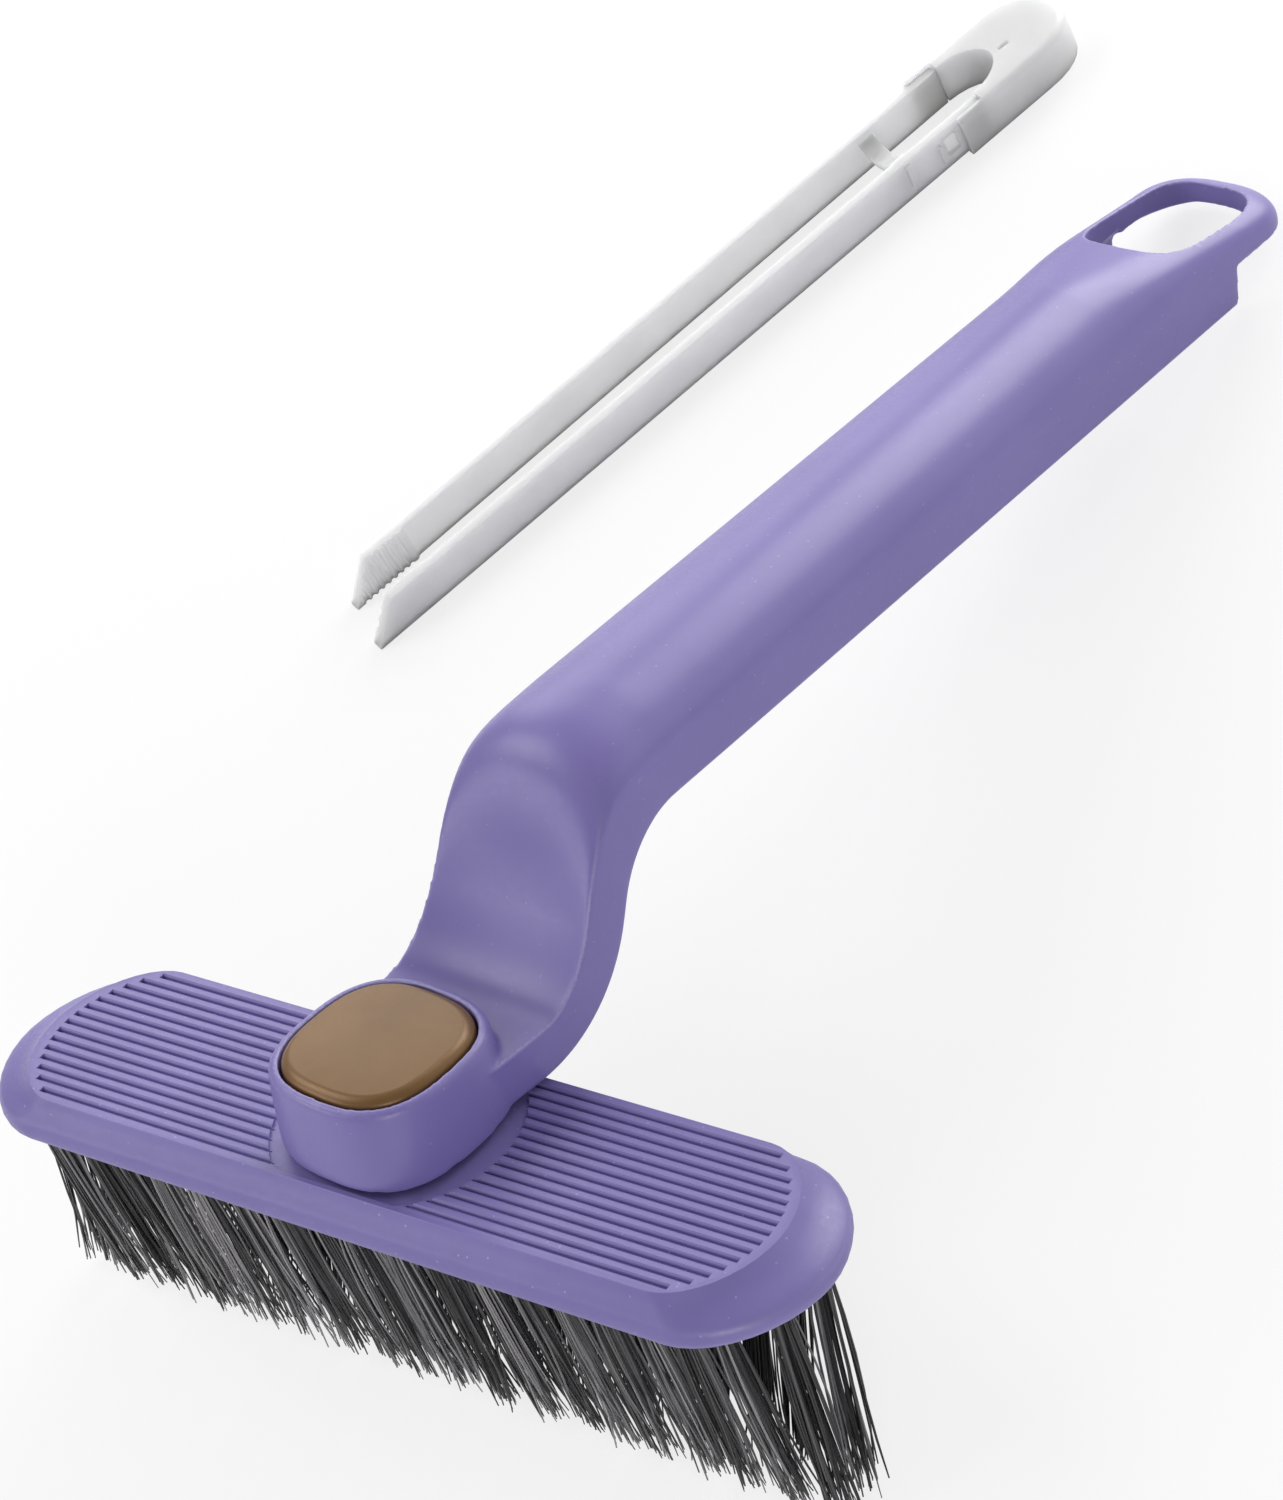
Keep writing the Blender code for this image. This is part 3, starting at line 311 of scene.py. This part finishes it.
# The front row gets a light tone and the rear row a much darker one: painted light on the front
# tufts and painted shade on the rear tufts, as if the block shaded the rear row.
FRONT_LIT_TONE = 0.62
REAR_SHADED_TONE = 0.2
END_TONE = 0.45
END_ROOT = (0.0682, 0.0054)
END_TIP = (0.0718, 0.0026)
NYLON_DARK = (0.004, 0.004, 0.0045, 1.0)
NYLON_MIDDLE = (0.045, 0.044, 0.047, 1.0)
NYLON_PALE = (0.3, 0.29, 0.3, 1.0)


def model_bristle():
    """One bristle of unit length and radius, standing on the origin, drawn up level by level."""
    bpy.ops.object.select_all(action="DESELECT")
    bpy.ops.mesh.primitive_circle_add(vertices=4, radius=1.0, fill_type="NGON",
                                      location=(0.0, 0.0, 0.0))
    bristle = bpy.context.object
    bristle.name = "bristle_pattern"
    bpy.ops.object.mode_set(mode="EDIT")
    bpy.ops.mesh.select_all(action="SELECT")
    for level in range(BRISTLE_LEVELS):
        bpy.ops.mesh.extrude_region_move(
            TRANSFORM_OT_translate={"value": (0.0, 0.0, 1.0 / BRISTLE_LEVELS)})
    bpy.ops.transform.resize(value=(TIP_TAPER, TIP_TAPER, 1.0), center_override=(0.0, 0.0, 1.0))
    bpy.ops.mesh.select_all(action="SELECT")
    bpy.ops.mesh.normals_make_consistent(inside=False)
    bpy.ops.object.mode_set(mode="OBJECT")
    return bristle


bristle_pattern = model_bristle()
pattern_points = [vertex.co.copy() for vertex in bristle_pattern.data.vertices]
pattern_faces = [tuple(face.vertices) for face in bristle_pattern.data.polygons]
bpy.data.objects.remove(bristle_pattern)

black_nylon, nylon_shader = new_material("black_nylon", 0.42)
nylon_tree = black_nylon.node_tree
shade = nylon_tree.nodes.new("ShaderNodeAttribute")
shade.attribute_name = "bristle_shade"
nylon_ramp = nylon_tree.nodes.new("ShaderNodeValToRGB")
nylon_ramp.color_ramp.elements[0].color = NYLON_DARK
nylon_ramp.color_ramp.elements[1].color = NYLON_PALE
middle_shade = nylon_ramp.color_ramp.elements.new(0.55)
middle_shade.color = NYLON_MIDDLE
nylon_place = nylon_tree.nodes.new("ShaderNodeTexCoord")
nylon_noise = nylon_tree.nodes.new("ShaderNodeTexNoise")
nylon_noise.inputs["Scale"].default_value = 420.0
nylon_noise.inputs["Detail"].default_value = 3.0
nylon_gloss = nylon_tree.nodes.new("ShaderNodeMapRange")
nylon_gloss.inputs["To Min"].default_value = 0.26
nylon_gloss.inputs["To Max"].default_value = 0.46
nylon_link = nylon_tree.links.new
nylon_link(shade.outputs["Fac"], nylon_ramp.inputs["Fac"])
nylon_link(nylon_ramp.outputs["Color"], nylon_shader.inputs["Base Color"])
nylon_link(nylon_place.outputs["Object"], nylon_noise.inputs["Vector"])
nylon_link(nylon_noise.outputs["Fac"], nylon_gloss.inputs["Value"])
nylon_link(nylon_gloss.outputs["Result"], nylon_shader.inputs["Roughness"])


def tuft(node, base, tip, seed, tone):
    """Copy the bristle into one bundle from its hole to its tips, in a few loose strands.

    The ends are kept inside the brush's own box and off the table.
    """
    chance = random.Random(seed)
    points = []
    faces = []
    shades = []
    golden = math.pi * (3.0 - math.sqrt(5.0))
    lean_x = chance.uniform(-0.0012, 0.0012)
    spread_x = chance.uniform(1.5, 2.1)
    spread_y = chance.uniform(1.1, 1.6)
    tuft_tone = tone + chance.uniform(-0.14, 0.14)
    strands = [(chance.gauss(0.0, 0.0005), chance.gauss(0.0, 0.0005), chance.gauss(0.0, 0.22))
               for strand in range(STRANDS)]
    for index in range(BRISTLES):
        reach = HOLE_FIELD * math.sqrt((index + 0.5) / BRISTLES)
        angle = golden * index + chance.uniform(-0.3, 0.3)
        off = Vector((reach * math.cos(angle), reach * math.sin(angle), 0.0))
        sector = int(STRANDS * (angle % (2.0 * math.pi)) / (2.0 * math.pi)) % STRANDS
        strand_x, strand_y, strand_tone = strands[sector]
        start = Vector((base[0] + off.x, base[1] + off.y, BLOCK_UNDERSIDE + ROOT_DEPTH))
        end = Vector((tip[0] + lean_x + spread_x * off.x, tip[1] + spread_y * off.y, -TUFT_REACH))
        end += Vector((strand_x + chance.gauss(0.0, 0.0003),
                       strand_y + chance.gauss(0.0, 0.0003), 0.0))
        tip_place = brush_frame @ end
        end.y += max(0.0, size_before[0][1] + TIP_MARGIN - tip_place.y)
        end.x += max(0.0, size_before[0][0] + TIP_MARGIN - tip_place.x)
        end.x -= max(0.0, tip_place.x + TIP_MARGIN - size_before[1][0])
        floor_rise = max(0.0, end.y * math.tan(tilt))
        ragged = abs(chance.gauss(0.0, RAGGED_CUT))
        if chance.random() < SHORT_SHARE:
            ragged += chance.uniform(*SHORT_BY)
        length = (end.z + floor_rise + ragged - start.z) / (end.z - start.z)
        bow = Vector((chance.gauss(0.0, 0.0006), chance.gauss(0.0, 0.0005), 0.0))
        bow += Vector((off.x, off.y, 0.0)) * 0.3
        curl = Vector((chance.gauss(0.0, 0.0008), chance.gauss(0.0, 0.0008), 0.0))
        radius = chance.uniform(*BRISTLE_RADII)
        twist = Matrix.Rotation(chance.uniform(0.0, 1.5), 3, "Z")
        offset = len(points)
        for co in pattern_points:
            along = co.z * length
            centre = start.lerp(end, along) + bow * math.sin(math.pi * min(along, 1.0))
            centre += curl * co.z ** 4
            ring = twist @ Vector((co.x, co.y, 0.0)) * radius
            world = brush_frame @ (centre + ring)
            world.z = max(world.z, TIP_LEAST_HEIGHT)
            points.append(world)
        faces += [tuple(offset + corner for corner in face) for face in pattern_faces]
        shade_value = min(1.0, max(0.0, tuft_tone + strand_tone + chance.gauss(0.0, 0.16)))
        shades += [shade_value] * len(pattern_points)
    name = node.replace("tuft", "bristles")
    mesh = bpy.data.meshes.new(name)
    mesh.from_pydata(points, [], faces)
    attribute = mesh.attributes.new("bristle_shade", "FLOAT", "POINT")
    attribute.data.foreach_set("value", shades)
    piece = bpy.data.objects.new(name, mesh)
    bpy.context.scene.collection.objects.link(piece)
    finish(piece, "head", [node], black_nylon)


row_length = (ROW_COUNT - 1) * TUFT_PITCH
for number in range(ROW_COUNT):
    x = -0.5 * row_length + number * TUFT_PITCH
    tuft("tuft_front_%02d" % (number + 1), (x, -ROW_Y), (x, -ROW_TIP_Y), 300 + number,
         FRONT_LIT_TONE)
# The rear row takes the dark tone of painted shade.
for number in range(ROW_COUNT - 1):
    x = -0.5 * row_length + (number + 0.5) * TUFT_PITCH
    tuft("tuft_rear_%02d" % (number + 1), (x, ROW_Y), (x, ROW_TIP_Y), 400 + number,
         REAR_SHADED_TONE)
end_number = 1
for side_x in (-1.0, 1.0):
    for side_y in (-1.0, 1.0):
        tuft("tuft_end_%02d" % end_number, (side_x * END_ROOT[0], side_y * END_ROOT[1]),
             (side_x * END_TIP[0], side_y * END_TIP[1]), 500 + end_number, END_TONE)
        end_number += 1

# Swivel screw and washer
# A zinc plated pan screw goes through a washer into the head's boss, under the hub's cap.
# The washer's edge holds the hub down and lets it turn.

zinc, zinc_shader = new_material("zinc_plate", 0.34, 0.9)
grained(zinc, zinc_shader, moulded_grain,
        {"Base": (0.42, 0.42, 0.41, 1.0), "Deep": (0.33, 0.34, 0.35, 1.0), "Cloud Size": 300.0,
         "Pit Size": 2600.0, "Gloss Low": 0.26, "Gloss High": 0.46}, 0.00004)
dress("pivot_washer", zinc)
dress("pivot_screw", zinc)

# Handle
# One purple moulding: the rounded square hub, the cranked neck, the half-round grip with a hollow
# underside and the flat hanging loop. It turns on the head's boss.

handle_plastic, handle_shader = new_material("handle_plastic", 0.4)
grained(handle_plastic, handle_shader, moulded_grain,
        {"Base": (0.198, 0.162, 0.424, 1.0), "Deep": (0.176, 0.144, 0.388, 1.0),
         "Cloud Size": 28.0, "Pit Size": 1500.0, "Gloss Low": 0.3, "Gloss High": 0.42,
         "Flecks": 0.16}, 0.00004, 0.4)

# Sizes along the handle are in millimetres from the swivel, heights from the head's top face.
# A bend is the place of its centre, along and up, with its radius. A crown is how far the
# grip's top stands over its springing line, listed with the place along the handle.
MM = 0.001
HANDLE_TURN = math.radians(6.0)
BEND_ANGLE = math.radians(62.0)
LOWER_BEND = (16.6, 27.15, 22.0)
UPPER_BEND = (56.24, 9.47, 21.3)
STRAP_MIDDLE = 5.15
NECK_HALF = 16.2
NECK_HOLLOW = 0.9
DEEPER_HOLLOW = 0.8
NECK_SWELL = 1.7
SHOULDER_CROWN = 9.1
GRIP_START = 56.24
GRIP_FULL = 69.24
GRIP_SPRING = 34.72
GRIP_SLOPE = math.tan(math.radians(0.55))
LOOP_START = 206.0
LOOP_ROUND_START = 218.0
HANDLE_END = 230.0
GRIP_HALVES = (14.7, 14.0)
CROWNS = ((69.24, 9.1), (206.0, 11.1))
LOOP_CROWN = 6.2
END_POWER = 2.8
END_LEAST = 0.12
END_CROWN_SHARE = 0.35
FLATTER_FROM = 176.0
FLATTER_OVER = 22.0
NECK_START = 17.0
GRIP_SHAPE_START = 66.0
GRIP_SHAPE_EASE = 12.0
BEND_BLEND = 3.0
BLEND_RISE = 0.216
SHOULDER_EASE = 0.62
SOFT_CROWNS = ((178.0, 10.7), (200.0, 8.5), (218.0, 6.1), (230.0, 5.4))
HOLE_MIDDLE = 210.8
HOLE_HALF_WIDTH = 10.0
HOLE_HALF_LENGTH = 14.7
UNDERSIDE_LIFT = 1.3
GRIP_CUTS = 12
SHARP_FROM = math.radians(52.0)
VOXEL = 0.00028
SOFTENING = 12
HANDLE_TRIANGLES = 190000
GRIP_CUT_RANGE = (71.0, 191.0)
ANYWHERE = -1000.0

handle_frame = brush_frame @ Matrix.Rotation(-HANDLE_TURN, 4, "Z")


def smooth(value):
    """Ease from 0 to 1 with level ends."""
    value = min(1.0, max(0.0, value))
    return value * value * (3.0 - 2.0 * value)


def along_steps(steps, y):
    """Value at a place along the handle, on straight lines between the listed places."""
    if y <= steps[0][0]:
        return steps[0][1]
    for (y0, v0), (y1, v1) in zip(steps, steps[1:]):
        if y <= y1:
            return v0 + (v1 - v0) * (y - y0) / (y1 - y0)
    return steps[-1][1]


def grip_half(y):
    """Half of the grip's width, which narrows a little towards the loop."""
    narrow = min(1.0, max(0.0, (y - GRIP_FULL) / (LOOP_START - GRIP_FULL)))
    return GRIP_HALVES[0] + (GRIP_HALVES[1] - GRIP_HALVES[0]) * narrow


def solid_crown(y):
    """Height of the solid's own top over the springing line."""
    if y < LOOP_START:
        return along_steps(CROWNS, y)
    last = CROWNS[-1][1]
    drop = smooth((y - LOOP_START) / (LOOP_ROUND_START - LOOP_START))
    return last + (LOOP_CROWN - last) * drop


def shape_grip(x, y, z):
    """Bring the grip's top to a true round and flatten it towards the loop."""
    spring = GRIP_SPRING + GRIP_SLOPE * (y - GRIP_START)
    half = grip_half(y)
    if y > LOOP_ROUND_START:
        reach = (y - LOOP_ROUND_START) / (HANDLE_END - LOOP_ROUND_START)
        left = max(1.0 - min(reach, 1.0) ** END_POWER, 0.0) ** (1.0 / END_POWER)
        left = max(left, END_LEAST)
        half *= left
        sunk = END_CROWN_SHARE + (1.0 - END_CROWN_SHARE) * left
        old = LOOP_CROWN * sunk
        new = along_steps(SOFT_CROWNS, y) * sunk
    else:
        old = solid_crown(y)
        new = old if y < SOFT_CROWNS[0][0] else along_steps(SOFT_CROWNS, y)
    share = min(abs(x) / half, 1.0)
    power = 2.0 + smooth((y - FLATTER_FROM) / FLATTER_OVER)
    was = old * math.sqrt(max(1.0 - share * share, 0.0))
    wanted = new * max(1.0 - share ** power, 0.0) ** (1.0 / power)
    height = z - spring
    weight = 0.0
    if was > 0.3 and z > spring + 0.02:
        weight = min(1.0, max(0.0, (height - 0.1) / (was - 0.1)))
        height += weight * (wanted - was)
    on_top = smooth(2.5 - 50.0 * abs(math.hypot(share, (z - spring) / old) - 1.0))
    on_top *= smooth((z - spring - 0.15) / 0.3)
    height += on_top * (wanted - height) * smooth((y - GRIP_SHAPE_START) / GRIP_SHAPE_EASE)
    off = math.hypot(x / HOLE_HALF_WIDTH, (y - HOLE_MIDDLE) / HOLE_HALF_LENGTH)
    if y > 195.0 and height > -1.0:
        height += UNDERSIDE_LIFT * smooth((1.3 - off) / 0.25) * (1.0 - weight) * (1.0 - on_top)
    return x, y, spring + height


def shape_neck(x, y, z):
    """Deepen the neck's hollow and let it run on to the shoulder."""
    straight = Vector((math.cos(BEND_ANGLE), math.sin(BEND_ANGLE)))
    upward = Vector((-straight.y, straight.x))
    corner = Vector((LOWER_BEND[0] + LOWER_BEND[2] * math.sin(BEND_ANGLE),
                     LOWER_BEND[1] - LOWER_BEND[2] * math.cos(BEND_ANGLE)))
    place = Vector((y, z)) - corner
    passed = place.dot(straight)
    if passed > BEND_BLEND:
        turn = math.atan2(UPPER_BEND[0] - y, z - UPPER_BEND[1])
        height = math.hypot(y - UPPER_BEND[0], z - UPPER_BEND[1]) - UPPER_BEND[2]
        part = 1.0 - turn / BEND_ANGLE
        rise = smooth(0.3 + 0.64 * part)
        wanted = rise * smooth(part / SHOULDER_EASE)
    elif passed > 0.0:
        turn = BEND_ANGLE
        height = place.dot(upward)
        rise = BLEND_RISE * passed / BEND_BLEND
        wanted = 0.0
    else:
        turn = math.atan2(max(y - LOWER_BEND[0], 0.0), LOWER_BEND[1] - z)
        height = z - STRAP_MIDDLE
        if y > LOWER_BEND[0]:
            height = LOWER_BEND[2] - math.hypot(y - LOWER_BEND[0], LOWER_BEND[1] - z)
        rise = 0.0
        wanted = 0.0
    if height < 1.5:
        return x, y, z
    sine = math.sqrt(max(0.0, 1.0 - min(abs(x) / NECK_HALF, 1.0) ** 2))
    lift = (wanted - rise) * (SHOULDER_CROWN * sine + NECK_HOLLOW * sine * sine)
    deeper = DEEPER_HOLLOW * smooth((y - NECK_START) / 8.0) * (1.0 - smooth((y - 36.0) / 14.0))
    lift -= deeper * sine * sine
    lift += NECK_SWELL * smooth((y - 19.0) / 13.0) * (1.0 - smooth((y - 40.0) / 15.0))
    return x, y - math.sin(turn) * lift, z + math.cos(turn) * lift


def shape_handle(piece, shape, start, end, lowest=ANYWHERE):
    """Sculpt a stretch of a piece point by point in the handle's own frame."""
    into = handle_frame.inverted()
    for vertex in piece.data.vertices:
        x, y, z = (into @ vertex.co) / MM
        if start < y <= end and z > lowest:
            vertex.co = handle_frame @ (Vector(shape(x, y, z)) * MM)


def make_cage(piece, stations):
    """Pair the skin's triangles, cut it at the stations and crease its sharp edges."""
    pick(piece)
    bpy.ops.object.mode_set(mode="EDIT")
    bpy.ops.mesh.select_all(action="SELECT")
    bpy.ops.mesh.tris_convert_to_quads(face_threshold=math.radians(25.0),
                                       shape_threshold=math.radians(60.0))
    for along in stations:
        bpy.ops.mesh.select_all(action="SELECT")
        bpy.ops.mesh.bisect(plane_co=handle_frame @ Vector((0.0, along * MM, 0.0)),
                            plane_no=handle_frame.to_3x3() @ Vector((0.0, 1.0, 0.0)),
                            threshold=0.00002)
    bpy.ops.mesh.select_mode(type="EDGE")
    bpy.ops.mesh.select_all(action="DESELECT")
    bpy.ops.mesh.edges_select_sharp(sharpness=SHARP_FROM)
    bpy.ops.transform.edge_crease(value=1.0)
    bpy.ops.mesh.select_mode(type="VERT")
    bpy.ops.object.mode_set(mode="OBJECT")


def fair(piece):
    """Turn the cage into its smooth surface."""
    fairing = piece.modifiers.new("fairing", "SUBSURF")
    fairing.levels = 2
    fairing.render_levels = 2
    apply_all(piece)


cut_start, cut_end = GRIP_CUT_RANGE
grip_stations = [cut_start + (cut_end - cut_start) * cut / (GRIP_CUTS - 1)
                 for cut in range(GRIP_CUTS)]
handle_moulding = skin_copy("handle", "handle_moulding", 0.0)
make_cage(handle_moulding, grip_stations)
shape_handle(handle_moulding, shape_neck, NECK_START, GRIP_START - 0.5)
fair(handle_moulding)
shape_handle(handle_moulding, shape_grip, GRIP_SHAPE_START, HANDLE_END + 10.0, GRIP_SPRING - 1.5)

# The skin is recast in one even mesh, so that its edges can be rounded as in a mould.
recast = handle_moulding.modifiers.new("recast", "REMESH")
recast.mode = "VOXEL"
recast.voxel_size = VOXEL
recast.use_smooth_shade = True
soften = handle_moulding.modifiers.new("soften", "SMOOTH")
soften.factor = 0.5
soften.iterations = SOFTENING
apply_all(handle_moulding)
thin = handle_moulding.modifiers.new("thin", "DECIMATE")
thin.ratio = min(1.0, HANDLE_TRIANGLES / (2.0 * len(handle_moulding.data.polygons)))
apply_all(handle_moulding)
# The handle's rims, its neck ridge and the loop's hole rim get the painted highlight.
mark_highlight_edges(handle_moulding, 10.0, 34.0)
finish(handle_moulding, "handle", ["handle"], handle_plastic)

# Hub cap
# A domed plastic cap with a bronze lacquer, pressed into the hub's recess over the screw.

bronze, bronze_shader = new_material("bronze_lacquer", 0.4, 0.25)
grained(bronze, bronze_shader, moulded_grain,
        {"Base": (0.186, 0.096, 0.03, 1.0), "Deep": (0.156, 0.08, 0.025, 1.0),
         "Cloud Size": 70.0, "Pit Size": 3200.0, "Gloss Low": 0.32, "Gloss High": 0.44}, 0.00002)

# The cap's sizes in its own frame, in millimetres: the moulded cap first, then the fuller one.
CAP_POWER = 2.7
CAP_HALF = 13.35
CAP_EDGE = 13.45
CAP_ROUND = 1.1
FULL_EDGE = 13.85
FULL_ROUND = 1.65
FULL_DOME = 0.35


def fill_cap(x, y, z):
    """Stand the cap a little higher and round its edge like a cushion."""
    if z < CAP_EDGE - 0.02:
        return x, y, z
    reach = (abs(x) ** CAP_POWER + abs(y) ** CAP_POWER) ** (1.0 / CAP_POWER)
    crown = CAP_HALF - CAP_ROUND
    if reach > crown + 0.01:
        turn = math.asin(min(1.0, max(0.0, (z - CAP_EDGE) / CAP_ROUND)))
        wanted = CAP_HALF - FULL_ROUND * (1.0 - math.cos(turn))
        height = FULL_EDGE + FULL_ROUND * math.sin(turn)
    else:
        wanted = reach * (CAP_HALF - FULL_ROUND) / crown
        height = FULL_EDGE + FULL_ROUND + FULL_DOME * (1.0 - (reach / crown) ** 2)
    scale = wanted / max(reach, 0.001)
    return x * scale, y * scale, height


cap_dome = skin_copy("hub_cap", "cap_dome", 0.0)
make_cage(cap_dome, ())
shape_handle(cap_dome, fill_cap, -20.0, 40.0)
fair(cap_dome)
pick(cap_dome)
bpy.ops.object.shade_smooth_by_angle(angle=math.radians(60.0))
finish(cap_dome, "handle", ["hub_cap"], bronze)

# Tweezers
# Two flat springy arms rooted in a thick rounded cap, with a thin strap between them, all in a
# milky translucent plastic. They lie loose on the table and are kept in the grip's hollow.

milky, milky_shader = new_material("milky_plastic", 0.4)
milky_shader.inputs["Subsurface Weight"].default_value = 0.8
milky_shader.inputs["Subsurface Radius"].default_value = (0.008, 0.008, 0.0084)
milky_shader.inputs["Subsurface Scale"].default_value = 1.0
grained(milky, milky_shader, moulded_grain,
        {"Base": (0.66, 0.66, 0.66, 1.0), "Deep": (0.6, 0.6, 0.602, 1.0),
         "Cloud Size": 60.0, "Pit Size": 1100.0, "Gloss Low": 0.3, "Gloss High": 0.46}, 0.00004)
for node, body, name, width in (
        ("tweezers_cap", "tweezers", "tweezers_spring_end", 0.0004),
        ("tweezer_arm_left", "arm_left", "tweezers_left_arm", 0.00035),
        ("tweezer_arm_right", "arm_right", "tweezers_right_arm", 0.00035),
        ("tweezers_bridge", "tweezers", "tweezers_strap", 0.0003)):
    limb = skin_copy(node, name)
    soft_edges(limb, width, 3, 38.0)
    finish(limb, body, [node], milky)

# Table and light
# A plain white table under the brush, soft lamps from behind and the left, and an even sky.
# The table looks nearly white in the picture and keeps a faint shadow.

TABLE_SIZE = 8.0
TABLE_GLOW_SHARE = 0.75
SKY_STRENGTH = 0.293

bpy.ops.object.select_all(action="DESELECT")
bpy.ops.mesh.primitive_plane_add(size=1.0, location=(0.0, 0.0, 0.0))
table = bpy.context.object
table.name = "table"
bpy.ops.object.mode_set(mode="EDIT")
bpy.ops.mesh.select_all(action="SELECT")
bpy.ops.transform.resize(value=(TABLE_SIZE, TABLE_SIZE, 1.0))
bpy.ops.mesh.subdivide(number_cuts=3)
bpy.ops.object.mode_set(mode="OBJECT")
table_white, table_shader = new_material("table_white", 0.85)
table_shader.inputs["Base Color"].default_value = (0.9, 0.9, 0.9, 1.0)
table_nodes = table_white.node_tree.nodes
table_link = table_white.node_tree.links.new
table_rays = table_nodes.new("ShaderNodeLightPath")
table_share = table_nodes.new("ShaderNodeMath")
table_share.operation = "MULTIPLY"
table_share.inputs[1].default_value = TABLE_GLOW_SHARE
table_glow = table_nodes.new("ShaderNodeEmission")
table_glow.inputs["Color"].default_value = (1.0, 1.0, 1.0, 1.0)
table_glow.inputs["Strength"].default_value = 1.0
table_blend = table_nodes.new("ShaderNodeMixShader")
table_link(table_rays.outputs["Is Camera Ray"], table_share.inputs[0])
table_link(table_share.outputs["Value"], table_blend.inputs["Fac"])
table_link(table_shader.outputs["BSDF"], table_blend.inputs[1])
table_link(table_glow.outputs["Emission"], table_blend.inputs[2])
table_link(table_blend.outputs["Shader"], table_nodes["Material Output"].inputs["Surface"])
table.data.materials.append(table_white)

world = bpy.data.worlds.new("studio")
bpy.context.scene.world = world
world.use_nodes = True
backdrop = world.node_tree.nodes["Background"]
backdrop.inputs["Color"].default_value = (1.0, 1.0, 1.0, 1.0)
backdrop.inputs["Strength"].default_value = SKY_STRENGTH


def soft_light(name, size, power, place, aim):
    """A square soft lamp that looks at a place on the brush."""
    lamp = bpy.data.lights.new(name, "AREA")
    lamp.shape = "SQUARE"
    lamp.size = size
    lamp.energy = power
    holder = bpy.data.objects.new(name, lamp)
    bpy.context.scene.collection.objects.link(holder)
    holder.location = place
    holder.rotation_euler = (Vector(aim) - Vector(place)).to_track_quat("-Z", "Y").to_euler()


soft_light("sweep_behind", 0.50, 4.8, (0.00, 0.74, 0.30), (0.0, 0.05, 0.05))
soft_light("behind_left", 0.50, 1.9, (-0.59, 0.59, 0.34), (0.0, 0.0, 0.03))
soft_light("high_left", 0.55, 3.8, (-0.70, -0.06, 0.84), (0.0, 0.0, 0.03))
soft_light("front_left", 0.55, 2.6, (-0.70, -0.70, 0.48), (0.0, 0.0, 0.03))
soft_light("front_right", 0.55, 3.7, (0.72, -0.72, 0.41), (0.0, 0.0, 0.03))
soft_light("behind_right", 0.55, 1.0, (0.72, 0.72, 0.41), (0.0, 0.0, 0.03))

# Camera
# The photograph's view: from the front right and above, level turned a little.

lens = bpy.data.cameras.new("photo_camera")
lens.sensor_fit = "HORIZONTAL"
lens.sensor_width = 36.0
lens.lens = 118.854
camera = bpy.data.objects.new("photo_camera", lens)
bpy.context.scene.collection.objects.link(camera)
camera.location = (0.36994, -0.31079, 0.52701)
camera.rotation_euler = tuple(math.radians(value) for value in (37.7696, 20.7712, 28.8903))
bpy.context.scene.camera = camera

bpy.context.scene.view_settings.view_transform = "Standard"
